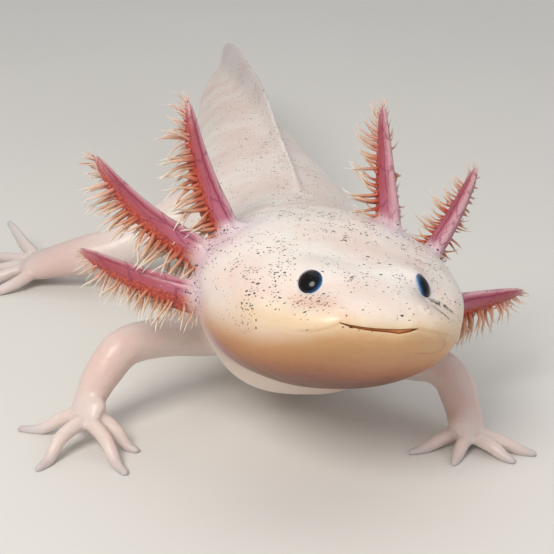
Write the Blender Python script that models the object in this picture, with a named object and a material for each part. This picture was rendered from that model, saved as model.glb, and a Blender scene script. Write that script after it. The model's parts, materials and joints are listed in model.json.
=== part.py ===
"""A life-size still model of an axolotl, Ambystoma mexicanum, standing on its four feet with its head raised.

The body is one loft along a bent spine, from the snout to the tip of the tail, parted by thin cuts into the
lengths that have a name: head, neck, chest, belly, pelvis and three lengths of tail. Legs, digits and gills
are tubes that grow out of it, and the fins stand on it. Every piece keeps a gap to the one it meets.

Tables and sizes are in millimetres, turned to metres where a mesh is made. +Z is up, the head looks towards
-Y, and +X is the animal's left. Places in the tables are measured from a point on the floor in front of the
animal, and BOX_MIDDLE takes them to the model's origin, on the floor under the middle of its box.
"""

import math

import bpy
import bmesh
from mathutils import Matrix, Vector

MM = 0.001
GAP = 0.3                                  # between two pieces that meet
BOX_MIDDLE = Vector((-9.6, 277.3, 0.0))
UP = Vector((0, 0, 1))

EYE_RADIUS = 1.9
FIN_THICKNESS = 1.5                        # at its foot; the free edge has FIN_EDGE
FIN_EDGE = 0.8
FILAMENT_RADIUS = 0.36
FILAMENTS_IN_A_ROW = 9

for old in list(bpy.data.objects):
    bpy.data.objects.remove(old)

# ---------------------------------------------------------------- materials

def material(name, colour, roughness):
    """A plain Principled finish, with its colour as linear red, green and blue."""
    made = bpy.data.materials.new(name)
    made.use_nodes = True
    shader = made.node_tree.nodes["Principled BSDF"]
    shader.inputs["Base Color"].default_value = (*colour, 1.0)
    shader.inputs["Roughness"].default_value = roughness
    shader.inputs["Metallic"].default_value = 0.0
    return made

SKIN = material("leucistic_skin", (0.86, 0.66, 0.58), 0.35)
FIN_SKIN = material("fin_skin", (0.80, 0.66, 0.62), 0.35)
GILL_SKIN = material("gill_skin", (0.70, 0.16, 0.17), 0.30)
EYE = material("eye", (0.01, 0.012, 0.02), 0.05)

# ---------------------------------------------------------------- curves and sections

def along(rows, s):
    """The columns after the first of a table, read at s by a smooth cubic through its rows."""
    last = len(rows) - 1
    i = max(0, min(last - 1, sum(1 for row in rows if row[0] <= s) - 1))
    a, b = rows[i], rows[i + 1]
    before, after = rows[max(0, i - 1)], rows[min(last, i + 2)]
    span = b[0] - a[0]
    t = min(1.0, max(0.0, (s - a[0]) / span))
    values = []
    for k in range(1, len(a)):
        leave = (b[k] - before[k]) / (b[0] - before[0]) * span
        arrive = (after[k] - a[k]) / (after[0] - a[0]) * span
        values.append((2 * t**3 - 3 * t**2 + 1) * a[k] + (t**3 - 2 * t**2 + t) * leave
                      + (3 * t**2 - 2 * t**3) * b[k] + (t**3 - t**2) * arrive)
    return values

# The spine: distance from the snout, then the place of the section's centre, and how far the section leans
# to the animal's left, in degrees. The head is a straight length, turned to its left and raised at the snout.
SPINE = (
    (0, 13.8, 177.0, 28.2, 8.1),
    (12, 10.5, 188.4, 26.4, 8.1),
    (24, 7.1, 199.8, 24.5, 8.0),
    (34, 4.5, 209.2, 22.4, 7.4),
    (42, 3.0, 216.8, 19.6, 7.2),
    (52, 1.9, 226.4, 17.4, 8.0),
    (66, 0.2, 240.1, 16.3, 10.0),
    (80, -1.8, 253.9, 16.0, 12.0),
    (94, -3.8, 267.7, 16.0, 14.0),
    (108, -5.8, 281.5, 16.2, 16.0),
    (122, -8.2, 295.3, 16.4, 18.0),
    (138, -10.8, 311.1, 16.4, 18.0),
    (154, -12.6, 327.0, 15.8, 16.0),
    (170, -13.4, 342.9, 14.8, 12.0),
    (186, -13.4, 358.8, 13.4, 10.0),
    (206, -12.8, 378.6, 11.2, 8.0),
)

# The body's section: distance from the snout, half width, height above and depth below the spine, and how
# square the upper and the lower half are (2 is an ellipse).
SECTIONS = (
    (0.0, 3.2, 1.4, 1.2, 2.0, 2.0),
    (0.8, 6.2, 2.4, 2.5, 2.0, 2.0),
    (2.2, 8.8, 3.2, 3.9, 2.0, 2.1),
    (4.5, 11.3, 4.0, 5.8, 2.0, 2.2),
    (8.0, 13.6, 4.9, 8.2, 2.0, 2.3),
    (12.0, 15.4, 5.8, 10.4, 2.1, 2.3),
    (17.0, 17.0, 7.0, 12.4, 2.2, 2.3),
    (22.0, 18.0, 8.3, 13.2, 2.3, 2.3),
    (26.5, 18.2, 9.4, 13.7, 2.3, 2.3),
    (30.5, 17.0, 10.0, 15.2, 2.2, 2.4),
    (35.0, 15.0, 10.6, 17.0, 2.1, 2.6),
    (42.0, 13.8, 11.2, 16.0, 2.0, 2.5),
    (52.0, 14.2, 11.8, 14.2, 2.0, 2.2),
    (66.0, 15.0, 12.0, 13.0, 2.0, 2.1),
    (80.0, 14.4, 11.6, 12.6, 2.0, 2.1),
    (94.0, 12.6, 11.0, 12.0, 2.0, 2.0),
    (108.0, 10.3, 10.4, 11.4, 2.0, 2.0),
    (120.0, 7.8, 9.4, 10.4, 1.9, 1.9),
    (136.0, 5.8, 8.0, 8.6, 1.8, 1.8),
    (154.0, 4.2, 6.6, 6.8, 1.7, 1.7),
    (172.0, 2.8, 4.8, 5.0, 1.7, 1.7),
    (190.0, 1.6, 2.6, 2.8, 1.7, 1.7),
    (206.0, 0.7, 0.8, 0.8, 1.7, 1.7),
)

def frame_at(s):
    """Centre of the body's section at s, and its directions: to the animal's left, up, and back along it."""
    step = 0.5
    *place, lean = along(SPINE, s)
    back = (Vector(along(SPINE, s + step)[:3]) - Vector(along(SPINE, s - step)[:3])).normalized()
    level = back.cross(UP).normalized()
    upright = level.cross(back)
    angle = math.radians(lean)
    left = level * math.cos(angle) - upright * math.sin(angle)
    up = upright * math.cos(angle) + level * math.sin(angle)
    return Vector(place) - BOX_MIDDLE, left, up, back

def on_body(s, x, z):
    """The point x to the left of and z above the spine, at s."""
    centre, left, up, _ = frame_at(s)
    return centre + left * x + up * z

def section_ring(s, sides, grow=0.0):
    """The points of the body's section at s, from its left side over the back and round under the belly."""
    half, height, depth, square_top, square_low = along(SECTIONS, s)
    points = []
    for k in range(sides):
        angle = math.tau * (k + 0.5) / sides
        c, d = math.cos(angle), math.sin(angle)
        power = 2 / (square_top if d > 0 else square_low)
        x = math.copysign(abs(c) ** power, c) * (half + grow)
        z = math.copysign(abs(d) ** power, d) * ((height if d > 0 else depth) + grow)
        points.append(on_body(s, x, z))
    return points

def measured(points):
    """A path's rows, each with its distance from the first row put in front."""
    rows, distance = [], 0.0
    for before, row in zip([points[0], *points], points):
        distance += (Vector(row[:3]) - Vector(before[:3])).length
        rows.append((distance, *row))
    return rows

def tube_rings(path, start, end, steps, sides):
    """Rings across a measured path of x, y, z, half width and half height, between two distances along it."""
    rings, side = [], None
    for k in range(steps + 1):
        s = start + (end - start) * k / steps
        x, y, z, wide, tall = along(path, s)
        direction = (Vector(along(path, s + 0.2)[:3]) - Vector(along(path, s - 0.2)[:3])).normalized()
        side = side or direction.cross(UP)
        side = (side - direction * side.dot(direction)).normalized()
        over = side.cross(direction)
        turns = [math.tau * (j + 0.5) / sides for j in range(sides)]
        rings.append([Vector((x, y, z)) + side * wide * math.cos(a) + over * tall * math.sin(a)
                      for a in turns])
    return rings

# ---------------------------------------------------------------- solids

def new_object(name, mesh_source, finish):
    """A named object made from a bmesh, shaded smooth."""
    mesh = bpy.data.meshes.new(name)
    mesh_source.to_mesh(mesh)
    mesh_source.free()
    mesh.materials.append(finish)
    mesh.shade_smooth()
    made = bpy.data.objects.new(name, mesh)
    bpy.context.scene.collection.objects.link(made)
    return made

def loft(name, rings, finish):
    """A closed solid through rings of the same number of points, with flat ends."""
    shell = bmesh.new()
    made = [[shell.verts.new(point * MM) for point in ring] for ring in rings]
    sides = len(rings[0])
    for near, far in zip(made, made[1:]):
        for k in range(sides):
            shell.faces.new((near[k], near[(k + 1) % sides], far[(k + 1) % sides], far[k]))
    shell.faces.new(made[0])
    shell.faces.new(made[-1])
    bmesh.ops.recalc_face_normals(shell, faces=shell.faces)
    return new_object(name, shell, finish)

def box(name, low, high):
    """A block between two corners."""
    corners = [[Vector((x, y, z)) for x, y in ((low[0], low[1]), (high[0], low[1]),
                                               (high[0], high[1]), (low[0], high[1]))]
               for z in (low[2], high[2])]
    return loft(name, corners, SKIN)

def ball(name, centre, radius, finish):
    """A round ball."""
    shell = bmesh.new()
    bmesh.ops.create_uvsphere(shell, u_segments=12, v_segments=8, radius=radius * MM,
                              matrix=Matrix.Translation(centre * MM))
    return new_object(name, shell, finish)

def boolean(target, other, operation):
    """Joins, cuts or keeps what is common, then removes the other object."""
    modifier = target.modifiers.new(operation.lower(), "BOOLEAN")
    modifier.operation = operation
    modifier.object = other
    graph = bpy.context.evaluated_depsgraph_get()
    mesh = bpy.data.meshes.new_from_object(target.evaluated_get(graph))
    target.modifiers.clear()
    target.data = mesh
    bpy.data.objects.remove(other)
    return target

# ---------------------------------------------------------------- neck, trunk and tail

BODY_SIDES = 22
TRUNK = (30.0, 120.0, 18)                  # the stretch that the legs are cut to meet: start, end, stretches

def body_length(name, start, end, steps, sides=BODY_SIDES, grow=0.0):
    """The stretch of the body between two distances from the snout."""
    places = [start + (end - start) * k / steps for k in range(steps + 1)]
    return loft(name, [section_ring(s, sides, grow) for s in places], SKIN)

# name, start and end along the spine, number of stretches
BODY_LENGTHS = (
    ("neck", 34.0, 43.0, 2),
    ("chest", 43.0, 62.0, 3),
    ("belly", 62.0, 84.0, 3),
    ("pelvis", 84.0, 106.0, 3),
    ("tail_root", 106.0, 132.0, 4),
    ("tail_middle", 132.0, 160.0, 4),
    ("tail_end", 160.0, 206.0, 6),
)
for piece, first, final, stretches in BODY_LENGTHS:
    body_length(piece, first + GAP / 2, final - GAP / 2, stretches)

# ---------------------------------------------------------------- fins

# A fin's height over the body: distance from the snout, height.
DORSAL_FIN = ((52, 0.5), (66, 1.0), (84, 1.8), (106, 3.4), (130, 5.4), (152, 6.6), (172, 5.6), (188, 3.8),
              (204, 1.0))
VENTRAL_FIN = ((114, 0.6), (126, 2.0), (144, 3.8), (164, 4.6), (180, 4.0), (194, 2.4), (204, 0.9))

def fin(name, heights, start, end, steps, side):
    """A thin fin standing on the back (side 1) or hanging from the underside (side -1) of the body."""
    rings = []
    for k in range(steps + 1):
        s = start + (end - start) * k / steps
        _, height, depth, _, _ = along(SECTIONS, s)
        foot = (height if side > 0 else depth) + GAP + 0.1
        tall = along(heights, s)[0]
        outline = ((FIN_THICKNESS, 0.0), (0.6 * FIN_THICKNESS + 0.4 * FIN_EDGE, 0.5), (FIN_EDGE, 0.9),
                   (0.5 * FIN_EDGE, 1.0))
        half = [(thick / 2, side * (foot + tall * up)) for thick, up in outline]
        ring = half + [(-x, z) for x, z in reversed(half)]
        rings.append([on_body(s, x, z) for x, z in ring])
    return loft(name, rings, FIN_SKIN)

fin("dorsal_fin_back", DORSAL_FIN, 52.0, 106.0 - GAP / 2, 7, 1)
fin("dorsal_fin_tail", DORSAL_FIN, 106.0 + GAP / 2, 204.0, 12, 1)
fin("ventral_fin_tail", VENTRAL_FIN, 114.0, 204.0, 11, -1)

# ---------------------------------------------------------------- head, lower jaw and eyes

HEAD_END = 34.0 - GAP / 2
HEAD_SIDES = 28
HEAD_PLACES = (0.0, 0.5, 1.4, 2.8, 4.6, 7.0, 10.0, 13.5, 17.0, 20.5, 24.0, 27.0, 30.0, HEAD_END)

def head_solid(name, grow):
    """The whole head with its jaw: its rings lie closer together round the snout."""
    return loft(name, [section_ring(s, HEAD_SIDES, grow) for s in HEAD_PLACES], SKIN)

def in_head(s, x, z):
    """A place in the head's own straight frame, which also holds in front of the snout."""
    centre, left, up, back = frame_at(6.0)
    return centre + back * (s - 6.0) + left * x + up * z

# The line of the mouth from the front of the lips to the corner and down behind the jaw: distance from the
# snout, height. Everything below it, grown by half the gap or shrunk by it, is the jaw's room.
MOUTH_LINE = ((-4.0, -0.2), (0.4, -0.2), (1.6, 0.5), (3.2, 0.5), (6.5, -0.6), (10.0, -1.6), (14.0, -1.6),
              (17.5, -2.6), (20.0, -6.0), (21.0, -20.0))

def jaw_room(name, ease):
    """A prism across the head under the line of the mouth, its upper and rear faces moved by ease."""
    profile = [(s + ease if s > 15 else s, z + ease) for s, z in MOUTH_LINE] + [(-4.0, -20.0)]
    return loft(name, [[in_head(s, x, z) for s, z in profile] for x in (-30.0, 30.0)], SKIN)

head = boolean(head_solid("head", 0.0), jaw_room("jaw_room", GAP / 2), "DIFFERENCE")
boolean(head_solid("lower_jaw", 0.0), jaw_room("jaw_room", -GAP / 2), "INTERSECT")

EYE_MIDDLE = (9.45, 7.6, 3.8)              # the eyeball's middle: distance from the snout, to the side, up

for side, side_name in ((-1, "right"), (1, "left")):
    middle = in_head(EYE_MIDDLE[0], side * EYE_MIDDLE[1], EYE_MIDDLE[2])
    boolean(head, ball("socket", middle, EYE_RADIUS + GAP, SKIN), "DIFFERENCE")
    ball("eye_" + side_name, middle, EYE_RADIUS, EYE)

# ---------------------------------------------------------------- legs, hands and feet

def floor_cut(piece):
    """Takes off what lies below the floor, which leaves flats where the piece rests."""
    return boolean(piece, box("floor", (-150, -150, -30), (150, 150, 0)), "DIFFERENCE")

def placed(rows):
    """A path's rows with the box's middle taken off their places."""
    return measured([(*(Vector(row[:3]) - BOX_MIDDLE), *row[3:]) for row in rows])

DIGIT_TAPER = (1.1, 1.0, 0.8, 0.45)        # a digit's radius from the palm to its tip, as shares of its own

def leg(side_name, upper, lower, foot, path, knee, ankle, digits, digit_radius):
    """An upper and a lower length parted at the knee, and a foot with its digits, cut flat below."""
    path = placed(path)
    total = path[-1][0]
    knee_at, ankle_at = path[knee][0], path[ankle][0]
    thigh = loft(upper + side_name, tube_rings(path, 0.0, knee_at - GAP / 2, 4, 10), SKIN)
    boolean(thigh, body_length("trunk", *TRUNK, BODY_SIDES, GAP), "DIFFERENCE")
    loft(lower + side_name, tube_rings(path, knee_at + GAP / 2, ankle_at - GAP / 2, 4, 10), SKIN)
    sole = loft(foot + side_name, tube_rings(path, ankle_at + GAP / 2, total, 4, 10), SKIN)
    for digit in digits:
        rows = placed([(*place, digit_radius * thin, digit_radius * thin)
                       for place, thin in zip(digit, DIGIT_TAPER)])
        boolean(sole, loft("digit", tube_rings(rows, 0.0, rows[-1][0], 5, 6), SKIN), "UNION")
    floor_cut(sole)

leg("right", "arm_upper_", "arm_lower_", "hand_",
    ((-3.0, 218.0, 12.5, 4.6, 4.6), (-9.5, 216.5, 10.8, 3.8, 3.7), (-16.0, 212.0, 12.0, 3.0, 3.0),
     (-22.0, 207.5, 12.4, 2.9, 2.9), (-25.0, 205.5, 9.5, 2.8, 2.7), (-27.0, 204.0, 5.9, 2.6, 2.1),
     (-27.2, 201.2, 4.2, 3.3, 1.6), (-27.0, 199.0, 3.4, 3.2, 1.2)), 3, 5,
    (((-27.5, 202.5, 4.6), (-31.6, 203.4, 2.6), (-34.6, 204.3, 0.6), (-38.2, 205.1, 0.2)),
     ((-28.0, 200.0, 4.0), (-30.6, 197.2, 2.8), (-32.2, 194.6, 0.6), (-33.6, 192.3, 0.2)),
     ((-26.4, 199.6, 3.9), (-24.2, 196.6, 2.8), (-22.4, 193.6, 0.6), (-20.8, 191.2, 0.2)),
     ((-25.8, 201.6, 4.0), (-23.2, 200.2, 2.6), (-21.4, 199.0, 0.6), (-19.6, 197.9, 0.2))), 1.05)

leg("left", "arm_upper_", "arm_lower_", "hand_",
    ((10.0, 218.0, 10.0, 4.6, 4.6), (15.5, 215.0, 8.6, 3.6, 3.6), (20.0, 210.6, 8.8, 3.0, 3.0),
     (23.0, 207.5, 9.5, 2.8, 2.8), (25.1, 205.3, 8.7, 2.7, 2.7), (26.3, 204.0, 6.4, 2.7, 2.7),
     (27.0, 202.9, 4.0, 2.7, 2.3),
     (27.5, 200.4, 2.2, 3.3, 1.7), (28.2, 198.4, 1.5, 3.2, 1.3)), 4, 6,
    (((26.4, 201.0, 2.0), (23.6, 199.6, 1.4), (21.2, 198.4, 0.6), (18.7, 197.5, 0.2)),
     ((27.2, 199.4, 1.8), (26.2, 197.4, 1.4), (25.4, 195.6, 0.6), (24.7, 194.0, 0.2)),
     ((28.8, 199.0, 1.8), (30.6, 197.2, 1.4), (32.2, 195.8, 0.6), (33.6, 194.6, 0.2)),
     ((28.8, 200.4, 1.9), (31.8, 199.0, 1.4), (34.6, 197.8, 0.6), (37.0, 197.0, 0.2))), 1.0)

leg("right", "leg_upper_", "leg_lower_", "foot_",
    ((-7.0, 266.0, 14.0, 5.4, 5.4), (-16.0, 264.6, 12.4, 5.0, 5.0), (-23.0, 263.0, 9.4, 4.4, 4.4),
     (-28.8, 262.0, 7.0, 4.0, 4.0), (-33.6, 262.0, 6.0, 3.8, 3.8), (-38.0, 262.6, 5.0, 3.5, 3.1),
     (-42.5, 264.0, 3.6, 4.2, 2.4), (-47.0, 266.0, 2.5, 4.8, 1.7)), 3, 5,
    (((-43.0, 262.0, 3.4), (-46.6, 259.4, 1.7), (-50.0, 257.8, 0.6), (-53.0, 256.5, 0.2)),
     ((-46.0, 263.6, 2.7), (-49.6, 262.8, 1.7), (-53.0, 262.3, 0.6), (-56.4, 262.0, 0.2)),
     ((-46.4, 265.8, 2.6), (-50.4, 266.4, 1.7), (-54.0, 267.2, 0.6), (-57.6, 268.2, 0.2)),
     ((-46.0, 267.8, 2.8), (-49.8, 270.0, 2.4), (-52.8, 272.2, 1.8), (-55.4, 274.4, 1.4)),
     ((-44.6, 268.6, 3.4), (-46.8, 272.2, 4.2), (-49.0, 276.2, 5.2), (-51.0, 279.6, 6.2))), 1.1)

leg("left", "leg_upper_", "leg_lower_", "foot_",
    ((-2.0, 268.0, 14.0, 5.4, 5.4), (6.0, 265.4, 12.4, 4.8, 4.8), (11.4, 262.0, 10.8, 4.2, 4.2),
     (15.2, 260.1, 9.4, 3.6, 3.6), (18.6, 260.9, 7.8, 3.2, 3.2), (20.4, 263.8, 5.9, 3.1, 2.9),
     (21.4, 267.2, 3.9, 3.0, 2.4), (23.0, 270.6, 2.4, 4.0, 1.8), (25.0, 273.4, 1.7, 4.4, 1.3)), 4, 6,
    (((22.0, 268.6, 2.4), (24.6, 266.8, 1.5), (27.0, 265.6, 0.6), (29.2, 264.8, 0.2)),
     ((24.0, 270.8, 2.1), (26.6, 270.2, 1.4), (29.0, 269.8, 0.6), (31.4, 269.4, 0.2)),
     ((24.8, 273.0, 2.0), (27.4, 273.6, 1.4), (29.8, 274.2, 0.6), (32.0, 274.8, 0.2)),
     ((24.0, 274.0, 2.1), (25.8, 276.4, 1.4), (27.4, 278.6, 0.6), (28.8, 280.4, 0.2)),
     ((22.4, 273.4, 2.2), (22.8, 276.4, 1.4), (23.2, 279.2, 0.6), (23.4, 281.8, 0.2))), 1.05)

# ---------------------------------------------------------------- gills

# Where a stalk leaves the head (distance from the snout, to the side, up), its length, its sweep to the rear
# and its lift at the base and at the tip, in degrees, and how far its two rows of filaments stand apart.
GILLS = {
    "right_upper": ((29.6, -12.6, 5.4), 20.0, (26, 40), (53, 78), 130),
    "right_middle": ((28.2, -15.6, 3.2), 21.6, (25, 15), (17, 53), 70),
    "right_lower": ((26.4, -16.4, -2.0), 20.5, (24, 50), (4, 15), 60),
    "left_upper": ((29.6, 10.6, 6.2), 20.5, (92, 88), (58, 66), 100),
    "left_middle": ((28.4, 15.4, 3.0), 19.0, (29, 54), (48, 40), 90),
    "left_lower": ((26.4, 16.6, -2.8), 19.0, (28, 18), (1, 8), 60),
}
STALK = ((0.0, 1.8, 2.1), (0.25, 1.6, 1.9), (0.6, 1.3, 1.5), (0.88, 0.9, 1.0), (1.0, 0.4, 0.45))
FILAMENT_LENGTH = ((0.0, 2.6), (0.3, 5.0), (0.6, 5.2), (0.85, 3.6), (1.0, 1.7))

def stalk_path(base, length, sweep, lift, steps=12):
    """The stalk's places and directions, by walking from its base while it turns to the rear and rises."""
    side = math.copysign(1, base[1])
    _, left, up, back = frame_at(6.0)
    place, walk = in_head(*base), []
    for k in range(steps + 1):
        t = k / steps
        a = math.radians(sweep[0] + (sweep[1] - sweep[0]) * t)
        e = math.radians(lift[0] + (lift[1] - lift[0]) * t)
        outward = left * side * math.cos(a) + back * math.sin(a)
        direction = outward * math.cos(e) + up * math.sin(e)
        walk.append((t, place.copy(), direction))
        place += direction * length / steps
    return walk

def gill(name, base, length, sweep, lift, spread):
    """A tapering stalk with two rows of filaments on its rear lower edge."""
    walk = stalk_path(base, length, sweep, lift)
    path = measured([(*place, *along(STALK, t)) for t, place, _ in walk])
    piece = loft("gill_" + name, tube_rings(path, 0.0, path[-1][0], 7, 8), GILL_SKIN)
    _, _, up, back = frame_at(6.0)
    for row in (-1, 1):
        for k in range(FILAMENTS_IN_A_ROW):
            t = 0.24 + 0.76 * (k + (0.5 if row > 0 else 0.0)) / (FILAMENTS_IN_A_ROW - 0.5)
            i = min(len(walk) - 2, int(t * (len(walk) - 1)))
            part = t * (len(walk) - 1) - i
            place = walk[i][1].lerp(walk[i + 1][1], part)
            direction = walk[i][2]
            rear = back * 0.5 - up
            rear = (rear - direction * rear.dot(direction)).normalized()
            out = Matrix.Rotation(math.radians(row * spread / 2), 3, direction) @ rear
            reach = along(FILAMENT_LENGTH, t)[0]
            tip = place + (out + direction * (0.2 + 1.1 * t**6)) * reach - UP * 0.1 * reach
            bend = place.lerp(tip, 0.5) + direction * 0.12 * reach
            rows = measured([(*place, FILAMENT_RADIUS, FILAMENT_RADIUS),
                             (*bend, FILAMENT_RADIUS, FILAMENT_RADIUS),
                             (*tip, 0.85 * FILAMENT_RADIUS, 0.85 * FILAMENT_RADIUS)])
            boolean(piece, loft("filament", tube_rings(rows, 0.0, rows[-1][0], 2, 3), GILL_SKIN), "UNION")
    boolean(piece, head_solid("grown_head", GAP), "DIFFERENCE")

for gill_name, (base, length, sweep, lift, spread) in GILLS.items():
    gill(gill_name, base, length, sweep, lift, spread)
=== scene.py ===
"""The looks of a life-size still model of an axolotl, Ambystoma mexicanum, of the pale leucistic kind.

It stands on its four feet on a pale floor, its head raised and turned to its left. The file follows the
animal as such a model is made: the set, then one soft skin from snout to tail with its stalks of gills, the
eyes, and the fringes of fine gill filaments. Tables are in millimetres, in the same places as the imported
solids.
"""
import json
import math

import bmesh
import bpy
import numpy as np
from mathutils import Matrix, Vector

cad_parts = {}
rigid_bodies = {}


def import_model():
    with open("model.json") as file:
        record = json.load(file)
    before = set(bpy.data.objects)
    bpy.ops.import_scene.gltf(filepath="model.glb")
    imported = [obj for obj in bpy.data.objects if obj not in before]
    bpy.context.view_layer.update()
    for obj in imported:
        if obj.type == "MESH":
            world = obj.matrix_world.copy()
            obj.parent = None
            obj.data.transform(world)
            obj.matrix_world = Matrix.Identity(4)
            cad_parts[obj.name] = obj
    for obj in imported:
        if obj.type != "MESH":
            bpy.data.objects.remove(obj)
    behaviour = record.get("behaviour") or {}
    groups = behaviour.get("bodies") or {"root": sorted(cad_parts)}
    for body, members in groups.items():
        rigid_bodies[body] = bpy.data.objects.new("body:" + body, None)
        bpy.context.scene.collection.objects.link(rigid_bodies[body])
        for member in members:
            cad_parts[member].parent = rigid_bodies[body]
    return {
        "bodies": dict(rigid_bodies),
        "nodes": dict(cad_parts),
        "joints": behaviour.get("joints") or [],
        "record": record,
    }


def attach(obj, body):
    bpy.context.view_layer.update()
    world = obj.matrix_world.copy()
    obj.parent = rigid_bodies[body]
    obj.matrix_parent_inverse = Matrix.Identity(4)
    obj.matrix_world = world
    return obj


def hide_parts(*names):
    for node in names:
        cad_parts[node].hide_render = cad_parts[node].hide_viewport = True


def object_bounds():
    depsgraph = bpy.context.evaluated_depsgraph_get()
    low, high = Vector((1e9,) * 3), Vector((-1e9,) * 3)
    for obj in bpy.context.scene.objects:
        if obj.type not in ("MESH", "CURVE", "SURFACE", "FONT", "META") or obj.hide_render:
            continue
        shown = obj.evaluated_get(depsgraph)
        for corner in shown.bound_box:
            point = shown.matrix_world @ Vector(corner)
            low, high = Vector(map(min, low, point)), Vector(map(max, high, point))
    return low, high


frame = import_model()
cad_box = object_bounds()

# ---------------------------------------------------------------- the set: camera, floor and lights
# A plain pale studio floor, matt, that catches the animal's soft shadow. A wide soft lamp stands in front of
# the head on its right, a weaker one fills from its left, and a third lights the back and the tail.

MM = 0.001
scene = bpy.context.scene
scene.view_settings.view_transform = "Standard"

def hex_colour(code):
    """An sRGB hex colour as linear red, green, blue and alpha."""
    parts = [int(code[k:k + 2], 16) / 255 for k in (1, 3, 5)]
    return (*[c / 12.92 if c <= 0.04045 else ((c + 0.055) / 1.055) ** 2.4 for c in parts], 1.0)

def add_node(tree, kind, settings=None, out=0, **inputs):
    """Adds a node with its settings and links, and gives back one of its outputs.

    A kind without Node in its name is a shader node. The settings are its own properties, or only the name of
    its operation; the places and hex colours along a ramp are given as stops. The other arguments are values,
    hex colours or links for its sockets, by name, or by number as in _2.
    """
    node = tree.nodes.new(kind if "Node" in kind else "ShaderNode" + kind)
    if isinstance(settings, str):
        settings = {"operation": settings}
    for name, value in (settings or {}).items():
        if name == "stops":
            stops = node.color_ramp.elements
            stops.remove(stops[1])
            stops[0].position = value[0][0]
            stops[0].color = hex_colour(value[0][1])
            for at, code in value[1:]:
                stops.new(at).color = hex_colour(code)
        else:
            setattr(node, name, value)
    for name, value in inputs.items():
        socket = node.inputs[int(name[1:])] if name[0] == "_" else node.inputs[name.replace("_", " ")]
        if isinstance(value, bpy.types.NodeSocket):
            tree.links.new(value, socket)
        else:
            socket.default_value = hex_colour(value) if str(value).startswith("#") else value
    return node.outputs[out] if node.outputs else node

def new_material(name):
    """A material with an empty node tree: the material and the tree."""
    made = bpy.data.materials.new(name)
    made.use_nodes = True
    made.node_tree.nodes.clear()
    return made, made.node_tree

def new_piece(name, mesh, material):
    """A named object at the origin with one material, shaded smooth."""
    mesh.name = name
    mesh.materials.clear()
    mesh.materials.append(material)
    mesh.shade_smooth()
    made = bpy.data.objects.new(name, mesh)
    scene.collection.objects.link(made)
    return made

camera = bpy.data.objects.new("camera", bpy.data.cameras.new("camera"))
camera.data.sensor_width = 36.0
camera.data.lens = 101.37
camera.data.clip_start = 0.01
camera.location = (0.0096, -0.2773, 0.105)
camera.rotation_euler = (math.radians(68.5), 0.0, 0.0)
scene.collection.objects.link(camera)
scene.camera = camera

FLOOR_HALF = 8.0                           # half the floor's side, in metres
floor_mesh = bpy.data.meshes.new("floor")
floor_mesh.from_pydata([(x * FLOOR_HALF, y * FLOOR_HALF, 0) for x, y in ((-1, -1), (1, -1), (1, 1), (-1, 1))],
                       [], [(0, 1, 2, 3)])
floor_paint, tree = new_material("matt_studio_floor_paint")
where = add_node(tree, "TexCoord", out="Object")
cloud = add_node(tree, "TexNoise", Vector=where, Scale=9.0, Detail=3.0)
tint = add_node(tree, "ValToRGB", {"stops": ((0.3, "#dbd9d5"), (0.7, "#dfddd9"))}, Fac=cloud)
matt = add_node(tree, "BsdfPrincipled", Base_Color=tint, Roughness=0.85)
add_node(tree, "OutputMaterial", Surface=matt)
floor = new_piece("studio_floor", floor_mesh, floor_paint)

def lamp(name, kind, place, target, size, strength, colour):
    """A soft lamp aimed at a point: a round panel of a size in metres, or a sun of a size in degrees."""
    light = bpy.data.lights.new(name, kind)
    if kind == "SUN":
        light.angle = math.radians(size)
    else:
        light.shape = "DISK"
        light.size = size
    light.energy = strength
    light.color = hex_colour(colour)[:3]
    made = bpy.data.objects.new(name, light)
    made.location = place
    made.rotation_euler = (Vector(target) - Vector(place)).to_track_quat("-Z", "Y").to_euler()
    scene.collection.objects.link(made)

lamp("key_panel", "AREA", (-0.15, -0.36, 0.36), (0.0, -0.07, 0.02), 0.22, 1.62, "#fffaf2")
lamp("fill_panel", "AREA", (0.50, -0.35, 0.30), (0.0, -0.05, 0.02), 0.40, 0.42, "#f2f6ff")
lamp("ceiling_light", "SUN", (0.10, 0.30, 0.50), (0.0, 0.0, 0.0), 70.0, 0.6, "#fffaf4")

world = bpy.data.worlds.new("studio_air")
world.use_nodes = True
air = world.node_tree.nodes["Background"].inputs
air["Color"].default_value = hex_colour("#e9ebee")
air["Strength"].default_value = 0.44
scene.world = world

# ---------------------------------------------------------------- the skin: its form
# Leucistic amphibian skin: thin, moist and scaleless over soft flesh, cast in one piece from the snout to the
# tip of the tail with the fins, legs, digits and gill stalks, so that it has no seam.

BOX_MIDDLE = np.array((-9.6, 277.3, 0.0))  # the place in the tables that comes to the origin

def along(rows, s):
    """The columns after the first of a table, read at s by a smooth cubic through its rows."""
    last = len(rows) - 1
    i = max(0, min(last - 1, sum(1 for row in rows if row[0] <= s) - 1))
    a, b = rows[i], rows[i + 1]
    before, after = rows[max(0, i - 1)], rows[min(last, i + 2)]
    span = b[0] - a[0]
    t = min(1.0, max(0.0, (s - a[0]) / span))
    values = []
    for k in range(1, len(a)):
        leave = (b[k] - before[k]) / (b[0] - before[0]) * span
        arrive = (after[k] - a[k]) / (after[0] - a[0]) * span
        values.append((2 * t**3 - 3 * t**2 + 1) * a[k] + (t**3 - 2 * t**2 + t) * leave
                      + (3 * t**2 - 2 * t**3) * b[k] + (t**3 - t**2) * arrive)
    return values

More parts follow.
